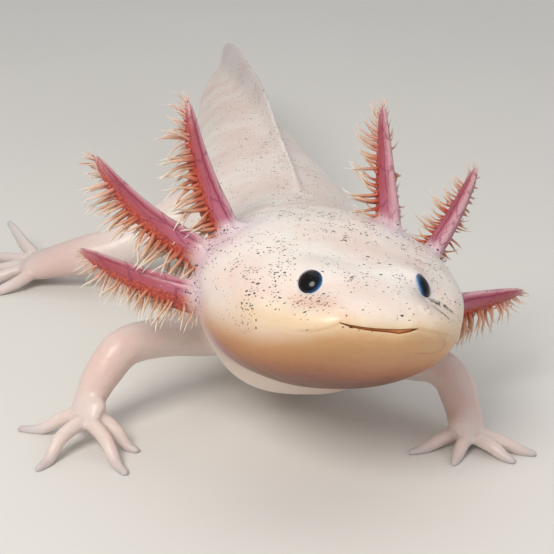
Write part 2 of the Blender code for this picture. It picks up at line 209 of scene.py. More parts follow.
# The spine: distance from the snout, the place of the section's centre, and its lean to the left in degrees.
SPINE = (
    (0, 13.8, 177, 28.2, 8.1), (12, 10.5, 188.4, 26.4, 8.1), (24, 7.1, 199.8, 24.5, 8),
    (34, 4.5, 209.2, 22.4, 7.4), (42, 3, 216.8, 19.6, 7.2), (52, 1.9, 226.4, 17.4, 8),
    (66, 0.2, 240.1, 16.3, 10), (80, -1.8, 253.9, 16, 12), (94, -3.8, 267.7, 16, 14),
    (108, -5.8, 281.5, 16.2, 16), (122, -8.2, 295.3, 16.4, 18), (138, -10.8, 311.1, 16.4, 18),
    (154, -12.6, 327, 15.8, 16), (170, -13.4, 342.9, 14.8, 12), (186, -13.4, 358.8, 13.4, 10),
    (206, -12.8, 378.6, 11.2, 8),
)
# The section: distance from the snout, half width, height above, depth below, squareness above and below.
SECTIONS = (
    (0, 3.2, 1.4, 1.2, 2, 2), (0.8, 6.2, 2.4, 2.5, 2, 2), (2.2, 8.8, 3.2, 3.9, 2, 2.1),
    (4.5, 11.3, 4, 5.8, 2, 2.2), (8, 13.6, 4.9, 8.2, 2, 2.3), (12, 15.4, 5.8, 10.4, 2.1, 2.3),
    (17, 17, 7, 12.4, 2.2, 2.3), (22, 18, 8.3, 13.2, 2.3, 2.3), (26.5, 18.2, 9.4, 13.7, 2.3, 2.3),
    (30.5, 17, 10, 15.2, 2.2, 2.4), (35, 15, 10.6, 17, 2.1, 2.6), (42, 13.8, 11.2, 16, 2, 2.5),
    (52, 14.2, 11.8, 14.2, 2, 2.2), (66, 15, 12, 13, 2, 2.1), (80, 14.4, 11.6, 12.6, 2, 2.1),
    (94, 12.6, 11, 12, 2, 2), (108, 10.3, 10.4, 11.4, 2, 2), (120, 7.8, 9.4, 10.4, 1.9, 1.9),
    (136, 5.8, 8, 8.6, 1.8, 1.8), (154, 4.2, 6.6, 6.8, 1.7, 1.7), (172, 2.8, 4.8, 5, 1.7, 1.7),
    (190, 1.6, 2.6, 2.8, 1.7, 1.7), (206, 0.7, 0.8, 0.8, 1.7, 1.7),
)
TAIL_END = 206.0
# A fin's height over the body: distance from the snout, height. Its outline runs from a thick foot to a thin
# edge: the thickness, and how far up it is.
DORSAL_FIN = ((46, -1.6), (54, 0.0), (66, 1.0), (84, 1.8), (106, 3.4), (130, 5.4), (152, 6.6), (172, 5.6),
              (188, 3.8), (202, 1.2), (205, 0.2))
VENTRAL_FIN = ((114, 0.6), (126, 2.0), (144, 3.8), (164, 4.6), (180, 4.0), (194, 2.4), (202, 1.0), (205, 0.2))
FIN_OUTLINE = ((2.0, -1.2), (1.5, 0.0), (1.15, 0.4), (0.9, 0.8), (0.75, 0.95), (0.4, 1.0))

def unit(vector):
    """A direction of length 1."""
    return vector / np.linalg.norm(vector)

def frame_at(s):
    """Centre of the body's section at s, and its directions: to the animal's left, up, and back along it."""
    *place, lean = along(SPINE, s)
    back = unit(np.array(along(SPINE, s + 0.5)[:3]) - np.array(along(SPINE, s - 0.5)[:3]))
    level = unit(np.cross(back, (0, 0, 1)))
    upright = np.cross(level, back)
    angle = math.radians(lean)
    left = level * math.cos(angle) - upright * math.sin(angle)
    up = upright * math.cos(angle) + level * math.sin(angle)
    return np.array(place) - BOX_MIDDLE, left, up, back

HEAD_STATION = 6.0                         # how far from the snout the head's straight frame is taken
HEAD_CENTRE, HEAD_LEFT, HEAD_UP, HEAD_BACK = frame_at(HEAD_STATION)

def in_head(s, x, z):
    """A place in the head's own straight frame: distance back from the snout, to the left, and up."""
    return HEAD_CENTRE + HEAD_BACK * (s - HEAD_STATION) + HEAD_LEFT * x + HEAD_UP * z

def turns_round(sides):
    """The angle of each point round a ring."""
    return math.tau * (np.arange(sides) + 0.5) / sides

def superellipse(turns, half, height, depth, square_top, square_low):
    """Sideways and upward distances round a section whose upper and lower halves differ."""
    c, d = np.cos(turns), np.sin(turns)
    power = 2 / np.where(d > 0, square_top, square_low)
    return (np.copysign(np.abs(c) ** power, c) * half,
            np.copysign(np.abs(d) ** power, d) * np.where(d > 0, height, depth))

def body_ring(s, sides):
    """The points of the body's section at s."""
    centre, left, up, _ = frame_at(s)
    x, z = superellipse(turns_round(sides), *along(SECTIONS, s))
    return centre + np.outer(x, left) + np.outer(z, up)

def fin_ring(s, heights, side):
    """The outline of a fin at s, standing on the back (side 1) or hanging under the tail (side -1)."""
    centre, left, up, _ = frame_at(s)
    _, height, depth, _, _ = along(SECTIONS, s)
    foot = height if side > 0 else depth
    tall = along(heights, s)[0]
    half = [(thick / 2, foot + min(0, tall) + (max(0, tall) + 0.4) * max(0, rise) + min(0, rise))
            for thick, rise in FIN_OUTLINE]
    outline = half + [(-x, z) for x, z in reversed(half)]
    return np.array([centre + left * x + up * side * z for x, z in outline])

def measured(points):
    """A path's rows, each with its distance from the first row put in front."""
    steps = [0.0] + [float(np.linalg.norm(np.subtract(b[:3], a[:3]))) for a, b in zip(points, points[1:])]
    return [(d, *row) for d, row in zip(np.cumsum(steps), points)]

def tube_rings(path, steps, sides):
    """Rings across a measured path of x, y, z, half width and half height, rounded off at its far end."""
    rings, side, total = [], None, path[-1][0]
    for k in range(steps + 1):
        s = total * k / steps
        x, y, z, wide, tall = along(path, s)
        direction = unit(np.array(along(path, s + 0.2)[:3]) - np.array(along(path, s - 0.2)[:3]))
        side = np.cross(direction, (0, 0, 1)) if side is None else side
        side = unit(side - direction * side.dot(direction))
        over = np.cross(side, direction)
        rounding = math.sqrt(max(0.12, min(1.0, (total - s) / max(wide, 0.1) * 1.2)))
        turns = turns_round(sides)
        rings.append(np.array((x, y, z)) + rounding * (np.outer(np.cos(turns) * wide, side)
                                                       + np.outer(np.sin(turns) * tall, over)))
    return rings

def add_loft(shell, rings):
    """Adds a closed solid through rings of the same number of points, its faces turned out."""
    made = [[shell.verts.new(point) for point in ring] for ring in rings]
    sides = len(rings[0])
    faces = [shell.faces.new(made[0]), shell.faces.new(made[-1])]
    for near, far in zip(made, made[1:]):
        faces += [shell.faces.new((near[k], near[(k + 1) % sides], far[(k + 1) % sides], far[k]))
                  for k in range(sides)]
    bmesh.ops.recalc_face_normals(shell, faces=faces)

def placed(rows):
    """A path's rows with the box's middle taken off their places."""
    return measured([(*(np.array(row[:3]) - BOX_MIDDLE), *row[3:]) for row in rows])

# A leg: the rows of its path from the trunk to the palm (place, half width, half height), then its digits,
# each four places from the palm to the tip, and the digits' radius.
LEGS = {
    "arm_right": (
        ((-3, 218, 12.5, 4.6, 4.6), (-9.5, 216.5, 10.8, 3.8, 3.7), (-16, 212, 12, 3, 3),
         (-22, 207.5, 12.4, 2.9, 2.9), (-25, 205.5, 9.5, 2.8, 2.7), (-27, 204, 5.9, 2.6, 2.1),
         (-27.2, 201.2, 4.2, 3.3, 1.6), (-27, 199, 3.4, 3.2, 1.2)),
        (((-27.5, 202.5, 4.6), (-31.6, 203.4, 2.6), (-34.6, 204.3, 0.6), (-38.2, 205.1, 0.2)),
         ((-28, 200, 4), (-30.6, 197.2, 2.8), (-32.2, 194.6, 0.6), (-33.6, 192.3, 0.2)),
         ((-26.4, 199.6, 3.9), (-24.2, 196.6, 2.8), (-22.4, 193.6, 0.6), (-20.8, 191.2, 0.2)),
         ((-25.8, 201.6, 4), (-23.2, 200.2, 2.6), (-21.4, 199, 0.6), (-19.6, 197.9, 0.2))), 1.05),
    "arm_left": (
        ((10, 218, 10, 4.6, 4.6), (15.5, 215, 8.6, 3.6, 3.6), (20, 210.6, 8.8, 3, 3),
         (23, 207.5, 9.5, 2.8, 2.8), (25.1, 205.3, 8.7, 2.7, 2.7), (26.3, 204, 6.4, 2.7, 2.7),
         (27, 202.9, 4, 2.7, 2.3), (27.5, 200.4, 2.2, 3.3, 1.7), (28.2, 198.4, 1.5, 3.2, 1.3)),
        (((26.4, 201, 2), (23.6, 199.6, 1.4), (21.2, 198.4, 0.6), (18.7, 197.5, 0.2)),
         ((27.2, 199.4, 1.8), (26.2, 197.4, 1.4), (25.4, 195.6, 0.6), (24.7, 194, 0.2)),
         ((28.8, 199, 1.8), (30.6, 197.2, 1.4), (32.2, 195.8, 0.6), (33.6, 194.6, 0.2)),
         ((28.8, 200.4, 1.9), (31.8, 199, 1.4), (34.6, 197.8, 0.6), (37, 197, 0.2))), 1),
    "leg_right": (
        ((-7, 266, 14, 5.4, 5.4), (-16, 264.6, 12.4, 5, 5), (-23, 263, 9.4, 4.4, 4.4),
         (-28.8, 262, 7, 4, 4), (-33.6, 262, 6, 3.8, 3.8), (-38, 262.6, 5, 3.5, 3.1),
         (-42.5, 264, 3.6, 4.2, 2.4), (-47, 266, 2.5, 4.8, 1.7)),
        (((-43, 262, 3.4), (-46.6, 259.4, 1.7), (-50, 257.8, 0.6), (-53, 256.5, 0.2)),
         ((-46, 263.6, 2.7), (-49.6, 262.8, 1.7), (-53, 262.3, 0.6), (-56.4, 262, 0.2)),
         ((-46.4, 265.8, 2.6), (-50.4, 266.4, 1.7), (-54, 267.2, 0.6), (-57.6, 268.2, 0.2)),
         ((-46, 267.8, 2.8), (-49.8, 270, 2.4), (-52.8, 272.2, 1.8), (-55.4, 274.4, 1.4)),
         ((-44.6, 268.6, 3.4), (-46.8, 272.2, 4.2), (-49, 276.2, 5.2), (-51, 279.6, 6.2))), 1.1),
    "leg_left": (
        ((-2, 268, 14, 5.4, 5.4), (6, 265.4, 12.4, 4.8, 4.8), (11.4, 262, 10.8, 4.2, 4.2),
         (15.2, 260.1, 9.4, 3.6, 3.6), (18.6, 260.9, 7.8, 3.2, 3.2), (20.4, 263.8, 5.9, 3.1, 2.9),
         (21.4, 267.2, 3.9, 3, 2.4), (23, 270.6, 2.4, 4, 1.8), (25, 273.4, 1.7, 4.4, 1.3)),
        (((22, 268.6, 2.4), (24.6, 266.8, 1.5), (27, 265.6, 0.6), (29.2, 264.8, 0.2)),
         ((24, 270.8, 2.1), (26.6, 270.2, 1.4), (29, 269.8, 0.6), (31.4, 269.4, 0.2)),
         ((24.8, 273, 2), (27.4, 273.6, 1.4), (29.8, 274.2, 0.6), (32, 274.8, 0.2)),
         ((24, 274, 2.1), (25.8, 276.4, 1.4), (27.4, 278.6, 0.6), (28.8, 280.4, 0.2)),
         ((22.4, 273.4, 2.2), (22.8, 276.4, 1.4), (23.2, 279.2, 0.6), (23.4, 281.8, 0.2))), 1.05),
}
DIGIT_TAPER = (1.1, 1.0, 0.8, 0.5)         # a digit's girth at its four places

def digit_path(digit, radius):
    """The measured path of a digit."""
    return placed([(*place, radius * thin, radius * thin) for place, thin in zip(digit, DIGIT_TAPER)])

# A gill stalk: where it leaves the head (back, to the left, up), its length, its sweep to the rear and its
# lift at the base and at the tip in degrees, the way its comb faces (back, outward, up), how many degrees its
# two rows of filaments stand apart, and how long they are and how far they hook towards the stalk's tip.
GILLS = {
    "right_upper": ((29.6, -12.6, 5.4), 20.0, (26, 40), (53, 78), (0.57, 0.82, 0.0), 84, 6.1, -0.36),
    "right_middle": ((28.2, -15.6, 3.2), 21.6, (25, 15), (17, 53), (0.15, 0.0, -1.0), 50, 5.8, -0.12),
    "right_lower": ((26.4, -16.4, -2.0), 20.5, (24, 50), (4, 15), (0.10, 0.0, -1.0), 44, 5.3, -0.14),
    "left_upper": ((29.6, 10.6, 6.2), 20.5, (92, 88), (58, 66), (1.0, -0.3, -0.2), 110, 5.3, 0.32),
    "left_middle": ((28.4, 15.4, 3.0), 19.0, (29, 54), (48, 40), (1.0, 0.0, -0.3), 110, 4.0, 0.26),
    "left_lower": ((26.4, 16.6, -2.8), 19.0, (28, 18), (1, 8), (0.3, 0.0, -1.0), 44, 5.4, 0.0),
}
# The stalk at a share of its length: half its width, its depth in front and the depth of its comb. It starts
# inside the head.
STALK = ((-0.14, 2.3, 2.3, 4.2), (0.0, 1.8, 2.0, 3.9), (0.25, 1.4, 1.7, 3.0), (0.6, 1.05, 1.35, 2.0),
         (0.88, 0.72, 0.85, 1.1), (1.0, 0.3, 0.35, 0.4))
STALK_START = STALK[0][0]

def stalk_walk(base, length, sweep, lift, comb, steps=24):
    """A stalk's stations: share of its length, place, direction, and the way its comb faces."""
    side = math.copysign(1, base[1])
    outward = HEAD_LEFT * side
    comb = HEAD_BACK * comb[0] + outward * comb[1] + HEAD_UP * comb[2]
    place, rows = in_head(*base), []
    for k in range(steps + 1):
        t = k / steps
        a = math.radians(sweep[0] + (sweep[1] - sweep[0]) * t)
        e = math.radians(lift[0] + (lift[1] - lift[0]) * t)
        direction = (outward * math.cos(a) + HEAD_BACK * math.sin(a)) * math.cos(e) + HEAD_UP * math.sin(e)
        if not rows:
            rows.append((STALK_START, place + direction * STALK_START * length, direction))
        rows.append((t, place, direction))
        place = place + direction * length / steps
    return [(*row, unit(comb - row[2] * comb.dot(row[2]))) for row in rows]

STALK_WALKS = {name: stalk_walk(*row[:5]) for name, row in GILLS.items()}

def stalk_ring(t, place, direction, comb, sides):
    """The points round a stalk: rounded in front, drawn out behind into the comb that bears the fringe."""
    half, front, rear = along(STALK, t)
    c, d = np.cos(turns_round(sides)), np.sin(turns_round(sides))
    across = np.cross(direction, comb)
    narrowed = 1 - 0.45 * d.clip(0) ** 2
    return place + np.outer(c * half * narrowed, across) + np.outer(d * np.where(d > 0, rear, front), comb)

shell = bmesh.new()
add_loft(shell, [body_ring(s, 96) for s in
                 [0.0, 0.2, 0.5, 0.9, 1.4, 2.0, 2.8, 3.7, *np.arange(4.6, TAIL_END - 0.5, 1.0), TAIL_END]])
for heights, side in ((DORSAL_FIN, 1), (VENTRAL_FIN, -1)):
    add_loft(shell, [fin_ring(s, heights, side) for s in np.arange(heights[0][0], heights[-1][0] + 0.1, 1.0)])
for path, digits, radius in LEGS.values():
    add_loft(shell, tube_rings(placed(path), 40, 24))
    for digit in digits:
        add_loft(shell, tube_rings(digit_path(digit, radius), 24, 14))
for walk in STALK_WALKS.values():
    add_loft(shell, [stalk_ring(*station, 24) for station in walk])

skin_mesh = bpy.data.meshes.new("skin")
shell.to_mesh(skin_mesh)
shell.free()

SKIN_SQUARE = 0.36                         # the side of the squares that the skin is remeshed into

def carried(mesh):
    """An object with a mesh, for modifiers to work on."""
    carrier = bpy.data.objects.new("carrier", mesh)
    scene.collection.objects.link(carrier)
    return carrier

def worked(carrier):
    """The plain mesh that an object's modifiers make of its own; the object is removed."""
    made = bpy.data.meshes.new_from_object(carrier.evaluated_get(bpy.context.evaluated_depsgraph_get()))
    bpy.data.objects.remove(carrier)
    return made

def remeshed(mesh, square):
    """The outside of a mesh of overlapping solids, as one closed skin of even squares."""
    carrier = carried(mesh)
    modifier = carrier.modifiers.new("fuse", "REMESH")
    modifier.mode = "VOXEL"
    modifier.voxel_size = square
    return worked(carrier)

skin_mesh = remeshed(skin_mesh, SKIN_SQUARE)

def rows_of(items, name, width=3, kind=np.float32):
    """A property of all the points or edges of a mesh, with a row for each."""
    values = np.empty(len(items) * width, kind)
    items.foreach_get(name, values)
    return values.reshape(-1, width)

def points_of(mesh):
    """The places of a mesh's points."""
    return rows_of(mesh.vertices, "co").astype(float)

def set_points(mesh, places):
    """Moves a mesh's points."""
    mesh.vertices.foreach_set("co", places.ravel())
    mesh.update()

def edges_of(mesh):
    """A mesh's edges as pairs of point numbers."""
    return rows_of(mesh.edges, "vertices", 2, np.int32)

def normals_of(mesh):
    """The outward direction at each point of a mesh."""
    return rows_of(mesh.vertex_normals, "vector").astype(float)

def relaxed(places, pairs, weight, rounds, puff=0.0):
    """Points drawn towards the middle of their neighbours by a weight each; puff pushes back what shrinks."""
    a, b = pairs.T
    count = np.bincount(pairs.ravel(), minlength=len(places))[:, None].clip(1)
    weight = np.broadcast_to(weight, len(places))[:, None]
    for _ in range(rounds):
        for share in (1.0, -puff) if puff else (1.0,):
            middle = np.stack([np.bincount(a, column[b], len(places)) + np.bincount(b, column[a], len(places))
                               for column in places.T], 1) / count
            places = places + (middle - places) * weight * share
    return places

def nearest(places, samples):
    """For each place, the number of the nearest sample and the distance to it."""
    found, far = np.empty(len(places), int), np.empty(len(places))
    for k in range(0, len(places), 20000):
        part = places[k:k + 20000]
        squares = (part**2).sum(1)[:, None] - 2 * part @ samples.T + (samples**2).sum(1)
        found[k:k + 20000] = squares.argmin(1)
        far[k:k + 20000] = np.sqrt(squares.min(1).clip(0))
    return found, far

def away_from(point, places):
    """The distance of each place from a point."""
    return np.linalg.norm(places - point, axis=1)

def hump(distance, width):
    """1 at no distance, falling off as a bell of that width."""
    return np.exp(-(np.asarray(distance) / width) ** 2)

def ramp(value, low, high):
    """0 below low, 1 above high, and smooth between."""
    t = np.clip((np.asarray(value, float) - low) / (high - low), 0, 1)
    return t * t * (3 - 2 * t)

SPINE_STEPS = np.arange(0.0, TAIL_END + 0.1, 0.5)
SPINE_FRAMES = [np.array(part) for part in zip(*[frame_at(s) for s in SPINE_STEPS])]
SPINE_SECTIONS = np.array([along(SECTIONS, s) for s in SPINE_STEPS])

def body_places(places):
    """Each place measured on the body: distance from the snout, to the left, up, and how far out it lies."""
    found, _ = nearest(places, SPINE_FRAMES[0])
    away = places - SPINE_FRAMES[0][found]
    left, up, back = [(away * SPINE_FRAMES[k][found]).sum(1) for k in (1, 2, 3)]
    half, height, depth, top, low = SPINE_SECTIONS[found].T
    power, tall = np.where(up > 0, top, low), np.where(up > 0, height, depth)
    out = ((np.abs(left) / half) ** power + (np.abs(up) / tall) ** power) ** (1 / power)
    return SPINE_STEPS[found] + back, left, up, (out - 1) * np.minimum(half, tall)

def head_places(places):
    """Each place in the head's straight frame: back from the snout, to the left, up."""
    away = places - HEAD_CENTRE
    return away @ HEAD_BACK + HEAD_STATION, away @ HEAD_LEFT, away @ HEAD_UP

def path_samples(path, steps):
    """Places along a measured path, with the share of its length and the half width at each."""
    return np.array([(*along(path, path[-1][0] * k / steps)[:4], k / steps) for k in range(steps + 1)])

LIMB_SAMPLES = np.concatenate([path_samples(placed(path), 60) for path, _, _ in LEGS.values()])
DIGIT_SAMPLES = np.concatenate([path_samples(digit_path(digit, radius), 24)
                                for _, digits, radius in LEGS.values() for digit in digits])
# Places down the middle of the stalks, three to a station, with the share of the length, the half width, and
# the numbers of the stalk and the station.
STALK_SAMPLES = np.array([
    (*(a[1] + (b[1] - a[1]) * part), a[0] + (b[0] - a[0]) * part, along(STALK, a[0])[0], number, station)
    for number, walk in enumerate(STALK_WALKS.values())
    for station, (a, b) in enumerate(zip(walk, walk[1:])) for part in (0.0, 0.33, 0.67)])

def settled(mesh):
    """Takes the marks of remeshing off the skin, and runs limbs, fins and stalks softly into the body."""
    places, pairs = points_of(mesh), edges_of(mesh)
    places = relaxed(places, pairs, 0.5, 4, puff=1.06)
    s, left, _, out = body_places(places)
    limb, limb_far = nearest(places, LIMB_SAMPLES[:, :3])
    stalk, stalk_far = nearest(places, STALK_SAMPLES[:, :3])
    limb_out, stalk_out = limb_far - LIMB_SAMPLES[limb, 3], stalk_far - STALK_SAMPLES[stalk, 4]
    joins = hump(out, 2.2) * hump(limb_out, 2.2) + hump(out, 1.5) * hump(stalk_out, 1.5)
    fin_foot = hump(out, 1.3) * hump(left, 1.6) * (s > 50)
    places = relaxed(places, pairs, 0.5 * np.clip(joins, 0, 1), 60)
    set_points(mesh, relaxed(places, pairs, 0.5 * np.clip(fin_foot, 0, 1), 20))

settled(skin_mesh)

# ---------------------------------------------------------------- the skin: folds, lips, rims and nostrils
# What a modeller would work into the wet clay: the parted lips, the soft creases of the cheeks, a low rim of
# skin round each lidless eye, two small nostrils, the folds of the nape and the grooves between the ribs.

SIDES = {"right": -1, "left": 1}           # the animal's sides, and the way they lie in the head's frame
EYE_RADIUS = 1.85
EYE_FLAT = 0.6                             # the eyeball's depth as a share of its width
EYE_MIDDLE = (9.45, 7.6, 3.8)              # back from the snout, to the side, up
EYE_SUNK = 0.35                            # how much deeper than that the eyeball is seated
EYE_AIM = (-0.57, 0.58, 0.58)              # the way it faces, in the same order
RIM_DEEP = 0.44                            # the rim's plane over the eyeball's middle
RIM_RADIUS = math.sqrt(EYE_RADIUS**2 - (RIM_DEEP / EYE_FLAT)**2)

# The parted lips: back, left, up and half the gap between them.
LIP_GAP = ((0.86, -6.13, 0.54, 0.03), (0.46, -4.94, 0.29, 0.11), (0.15, -3.73, 0.15, 0.14),
           (0.0, -1.79, -0.01, 0.16), (0.0, 0.19, -0.09, 0.19), (0.0, 1.52, -0.16, 0.27),
           (0.0, 2.82, 0.03, 0.20), (0.21, 3.95, 0.22, 0.03))
# Creases: depth, width, then their places in the head's frame.
CREASES = (
    (0.03, 0.24, ((0.86, -6.13, 0.54), (1.30, -7.2, -0.15), (2.52, -8.85, -0.95), (4.27, -10.75, -1.45),
                  (6.66, -12.61, -1.8), (9.5, -14.1, -2.6), (13.1, -15.3, -4.0))),
    (0.04, 0.22, ((0.21, 3.95, 0.22), (0.7, 5.79, -0.11), (1.28, 7.15, -0.47), (2.5, 8.9, -1.0),
                  (4.3, 10.7, -1.5), (6.7, 12.6, -1.8), (9.5, 14.1, -2.6), (13.1, 15.3, -4.0))),
    (0.16, 0.25, ((1.28, 7.15, -0.47), (2.58, 8.64, -1.68), (4.17, 9.58, -2.98), (4.59, 9.16, -3.77),
                  (3.64, 7.4, -3.82), (2.25, 4.76, -3.38))),
)
# The folds where the head meets the nape, in the same way.
NAPE_FOLDS = (
    (0.22, 0.75, ((25.3, -14.2, 6.2), (29.5, -12.2, 7.3), (36.8, -8.3, 7.9), (43.5, -3.6, 8.2),
                  (47.5, 1.3, 8.8))),
    (0.16, 0.70, ((25.3, 14.2, 6.2), (29.5, 12.4, 7.3), (35.0, 10.0, 7.8))),
    (0.10, 0.55, ((27.0, -10.4, 8.0), (32.0, -7.6, 9.0), (37.0, -4.0, 9.2), (40.5, 0.5, 9.4))),
)
NOSTRILS = ((2.2, -5.4, 2.0), (2.2, 5.4, 2.0))
NOSTRIL_RADIUS = 0.35
MOUTH_DEPTH = 0.38                         # how far the gap of the lips goes in
RIBS = 11                                  # grooves between the ribs on each side
RIB_START = 50.0                           # how far from the snout the first one is, and their spacing
RIB_SPACING = 4.9
# Where the face slopes away round an eye: back, to the side, up; how wide and how deep.
SLOPES = (((8.5, 12.6, 2.4), 4.6, 0.85), ((5.6, 8.6, 3.0), 3.2, 0.5))

def polyline(rows, spacing=0.1):
    """Places every so far along a line through rows in the head's frame, with the rows' other columns."""
    rows = np.array(rows, float)
    rows[:, :3] = [in_head(*row[:3]) for row in rows]
    steps = np.linalg.norm(np.diff(rows[:, :3], axis=0), axis=1)
    at = np.concatenate([[0], np.cumsum(steps)])
    fine = np.arange(0, at[-1], spacing)
    return np.stack([np.interp(fine, at, column) for column in rows.T], 1)

EYE_FRAMES = {}
for side_name, side in SIDES.items():
    aim = unit(HEAD_BACK * EYE_AIM[0] + HEAD_LEFT * side * EYE_AIM[1] + HEAD_UP * EYE_AIM[2])
    middle = in_head(EYE_MIDDLE[0], side * EYE_MIDDLE[1], EYE_MIDDLE[2])
    EYE_FRAMES[side_name] = (middle - aim * EYE_SUNK, aim)

def rim_axes(aim):
    """Two directions across an eye's opening: level with the head, and over it."""
    across = unit(np.cross(aim, HEAD_UP))
    return across, np.cross(across, aim)

def rim_circle(centre, aim):
    """Places round the rim of an eye."""
    across, over = rim_axes(aim)
    turns = np.linspace(0, math.tau, 60)
    round_it = np.outer(np.cos(turns), across) + np.outer(np.sin(turns), over)
    return centre + aim * RIM_DEEP + RIM_RADIUS * round_it

def finer(mesh, marks, reach):
    """Halves the faces that lie within reach of the marks."""
    shape = bmesh.new()
    shape.from_mesh(mesh)
    middles = np.array([face.calc_center_median() for face in shape.faces])
    shape.faces.ensure_lookup_table()
    near = np.flatnonzero(nearest(middles, marks)[1] < reach)
    chosen = {edge for k in near for edge in shape.faces[k].edges}
    bmesh.ops.subdivide_edges(shape, edges=list(chosen), cuts=1, use_grid_fill=True)
    shape.to_mesh(mesh)
    shape.free()

lip_marks = polyline(LIP_GAP)
crease_marks = [polyline(rows) for _, _, rows in CREASES]
fold_marks = [polyline(rows) for _, _, rows in NAPE_FOLDS]
rim_marks = np.concatenate([rim_circle(*frame) for frame in EYE_FRAMES.values()])
nostril_marks = np.array([in_head(*place) for place in NOSTRILS])
finer(skin_mesh, np.concatenate([lip_marks[:, :3], rim_marks, nostril_marks, *crease_marks]), 1.1)
finer(skin_mesh, np.concatenate([lip_marks[:, :3], rim_marks, nostril_marks]), 0.5)

def lip_depth(places):
    """How far inside the gap of the parted lips a place lies, in mm; below nothing outside it."""
    s, x, z = head_places(places)
    rows = np.array(LIP_GAP)
    middle, half = np.interp(x, rows[:, 1], rows[:, 2]), np.interp(x, rows[:, 1], rows[:, 3])
    beyond = np.maximum(rows[0, 1] - x, x - rows[-1, 1]).clip(0)
    return np.where(s < 3.0, half - np.abs(z - middle) - beyond, -5.0), z - middle, beyond

def modelled(mesh):
    """Works the folds and openings into the skin."""
    places = points_of(mesh)
    pairs = edges_of(mesh)
    near = nearest(places, np.concatenate([lip_marks[:, :3], rim_marks]))[1] < 1.6
    places = relaxed(places, pairs, 0.5 * near, 4)
    set_points(mesh, places)
    outward = normals_of(mesh)

    # Lips: the gap itself, then the fuller edge of the upper lip over it and of the lower lip under it.
    depth, above, beyond = lip_depth(places)
    near_front = (head_places(places)[0] < 3.0) * hump(beyond, 1.0)
    lift = 0.06 * hump(above - 0.55, 0.45) + 0.05 * hump(above + 0.50, 0.45)
    sunk = MOUTH_DEPTH * ramp(depth, -0.10, 0.14)
    places = places + outward * (near_front * lift)[:, None] + HEAD_BACK * sunk[:, None]

    for (deep, wide, _), marks in zip(CREASES + NAPE_FOLDS, crease_marks + fold_marks):
        mark, far = nearest(places, marks)
        fade = np.minimum(1.0, np.minimum(mark, len(marks) - 1 - mark) / 12)
        places = places - outward * (deep * hump(far, wide) * fade)[:, None]
    for middle in nostril_marks:
        far = away_from(middle, places)
        places = places - outward * (0.45 * hump(far, NOSTRIL_RADIUS) - 0.10 * hump(far - 0.65, 0.3))[:, None]

    # The cheek falls away to the side and front of each eye.
    for side in SIDES.values():
        for middle, wide, deep in SLOPES:
            far = away_from(in_head(middle[0], side * middle[1], middle[2]), places)
            places = places - outward * (deep * hump(far, wide))[:, None]

    # Eye rims: the skin is drawn up or down so that it meets the rim, higher behind the eye than before it,
    # and tucked in behind the eyeball's edge.
    for centre, aim in EYE_FRAMES.values():
        across, over = rim_axes(aim)
        away = places - centre
        high, beside = away @ aim, np.hypot(away @ across, away @ over)
        turn = np.arctan2(away @ over, away @ across)
        waves = np.stack([np.ones_like(turn), np.cos(turn), np.sin(turn),
                          np.cos(2 * turn), np.sin(2 * turn)], 1)
        near = ramp(high, -5.0, -1.2) * (1 - ramp(np.linalg.norm(away, axis=1), 6.0, 11.0))
        ring = (near > 0.9) & (np.abs(beside - RIM_RADIUS - 0.15) < 0.4)
        rearward = unit(HEAD_BACK - aim * aim.dot(HEAD_BACK))
        target = RIM_DEEP + 0.20 + 0.14 * (away @ rearward) / beside
        drawn = np.linalg.lstsq(waves[ring], (target - high)[ring], rcond=None)[0]
        beyond = (beside - RIM_RADIUS).clip(0)
        lift = waves @ drawn * hump(beyond, 3.6) + 0.03 * hump(beyond - 0.15, 0.15)
        tuck = np.where(beside < RIM_RADIUS, 1.2 * ramp(RIM_RADIUS - beside, 0.0, 0.40), 0.0)
        places = places + aim * ((lift - tuck) * near)[:, None]

    # Ribs: shallow uneven grooves down the sides between the arms and legs.
    s, _, up, out = body_places(places)
    on_trunk = hump(out, 1.2) * (1 - ramp(np.abs(up + 1.0), 4.0, 9.5))
    for k in range(RIBS):
        uneven = math.sin(2.4 * k)
        groove = hump(s - RIB_START - RIB_SPACING * k - 0.5 * uneven - 0.14 * up - 0.010 * up**2,
                      0.9 + 0.2 * uneven)
        places = places - outward * ((0.15 + 0.05 * uneven) * on_trunk * groove)[:, None]

    # What would dip under the floor is pressed flat on it, and nothing stands out of the model's box.
    low, high = [np.array(corner) / MM for corner in cad_box]
    set_points(mesh, np.clip(places, low, high))

modelled(skin_mesh)

def lightened(mesh, kept, limit):
    """Merges the faces of the plain parts of the body, so that the skin has no more than limit triangles."""
    carrier = carried(mesh)
    plain = carrier.vertex_groups.new(name="plain")
    for level in range(5):
        chosen = np.flatnonzero(np.round(kept * 4) == 4 - level)
        plain.add(chosen.tolist(), 0.02 + 0.98 * level / 4, "REPLACE")
    triangles = sum(face.loop_total - 2 for face in mesh.polygons)
    modifier = carrier.modifiers.new("lighten", "DECIMATE")
    modifier.ratio = limit / triangles
    modifier.vertex_group = "plain"
    modifier.vertex_group_factor = 20.0
    return worked(carrier)

SKIN_TRIANGLES = 190000
places = points_of(skin_mesh)
s = body_places(places)[0]
digit_near = nearest(places, np.concatenate([DIGIT_SAMPLES[:, :3], STALK_SAMPLES[:, :3]]))[1]
mark_near = nearest(places, np.concatenate([lip_marks[:, :3], rim_marks, nostril_marks, *crease_marks]))[1]
kept = np.maximum.reduce([1 - ramp(mark_near, 1.5, 4.0), 0.8 * (1 - ramp(digit_near, 2.5, 5.0)),
                          0.6 * (1 - ramp(s, 30.0, 48.0))])
skin_mesh = lightened(skin_mesh, kept, SKIN_TRIANGLES)

# ---------------------------------------------------------------- the skin: its colour
# Leucistic skin has almost no dark pigment: cream over pink flesh that shows through, warmer under the jaw,
# violet where the blood vessels crowd at the gills, with a dusting of leftover black pigment cells on top.

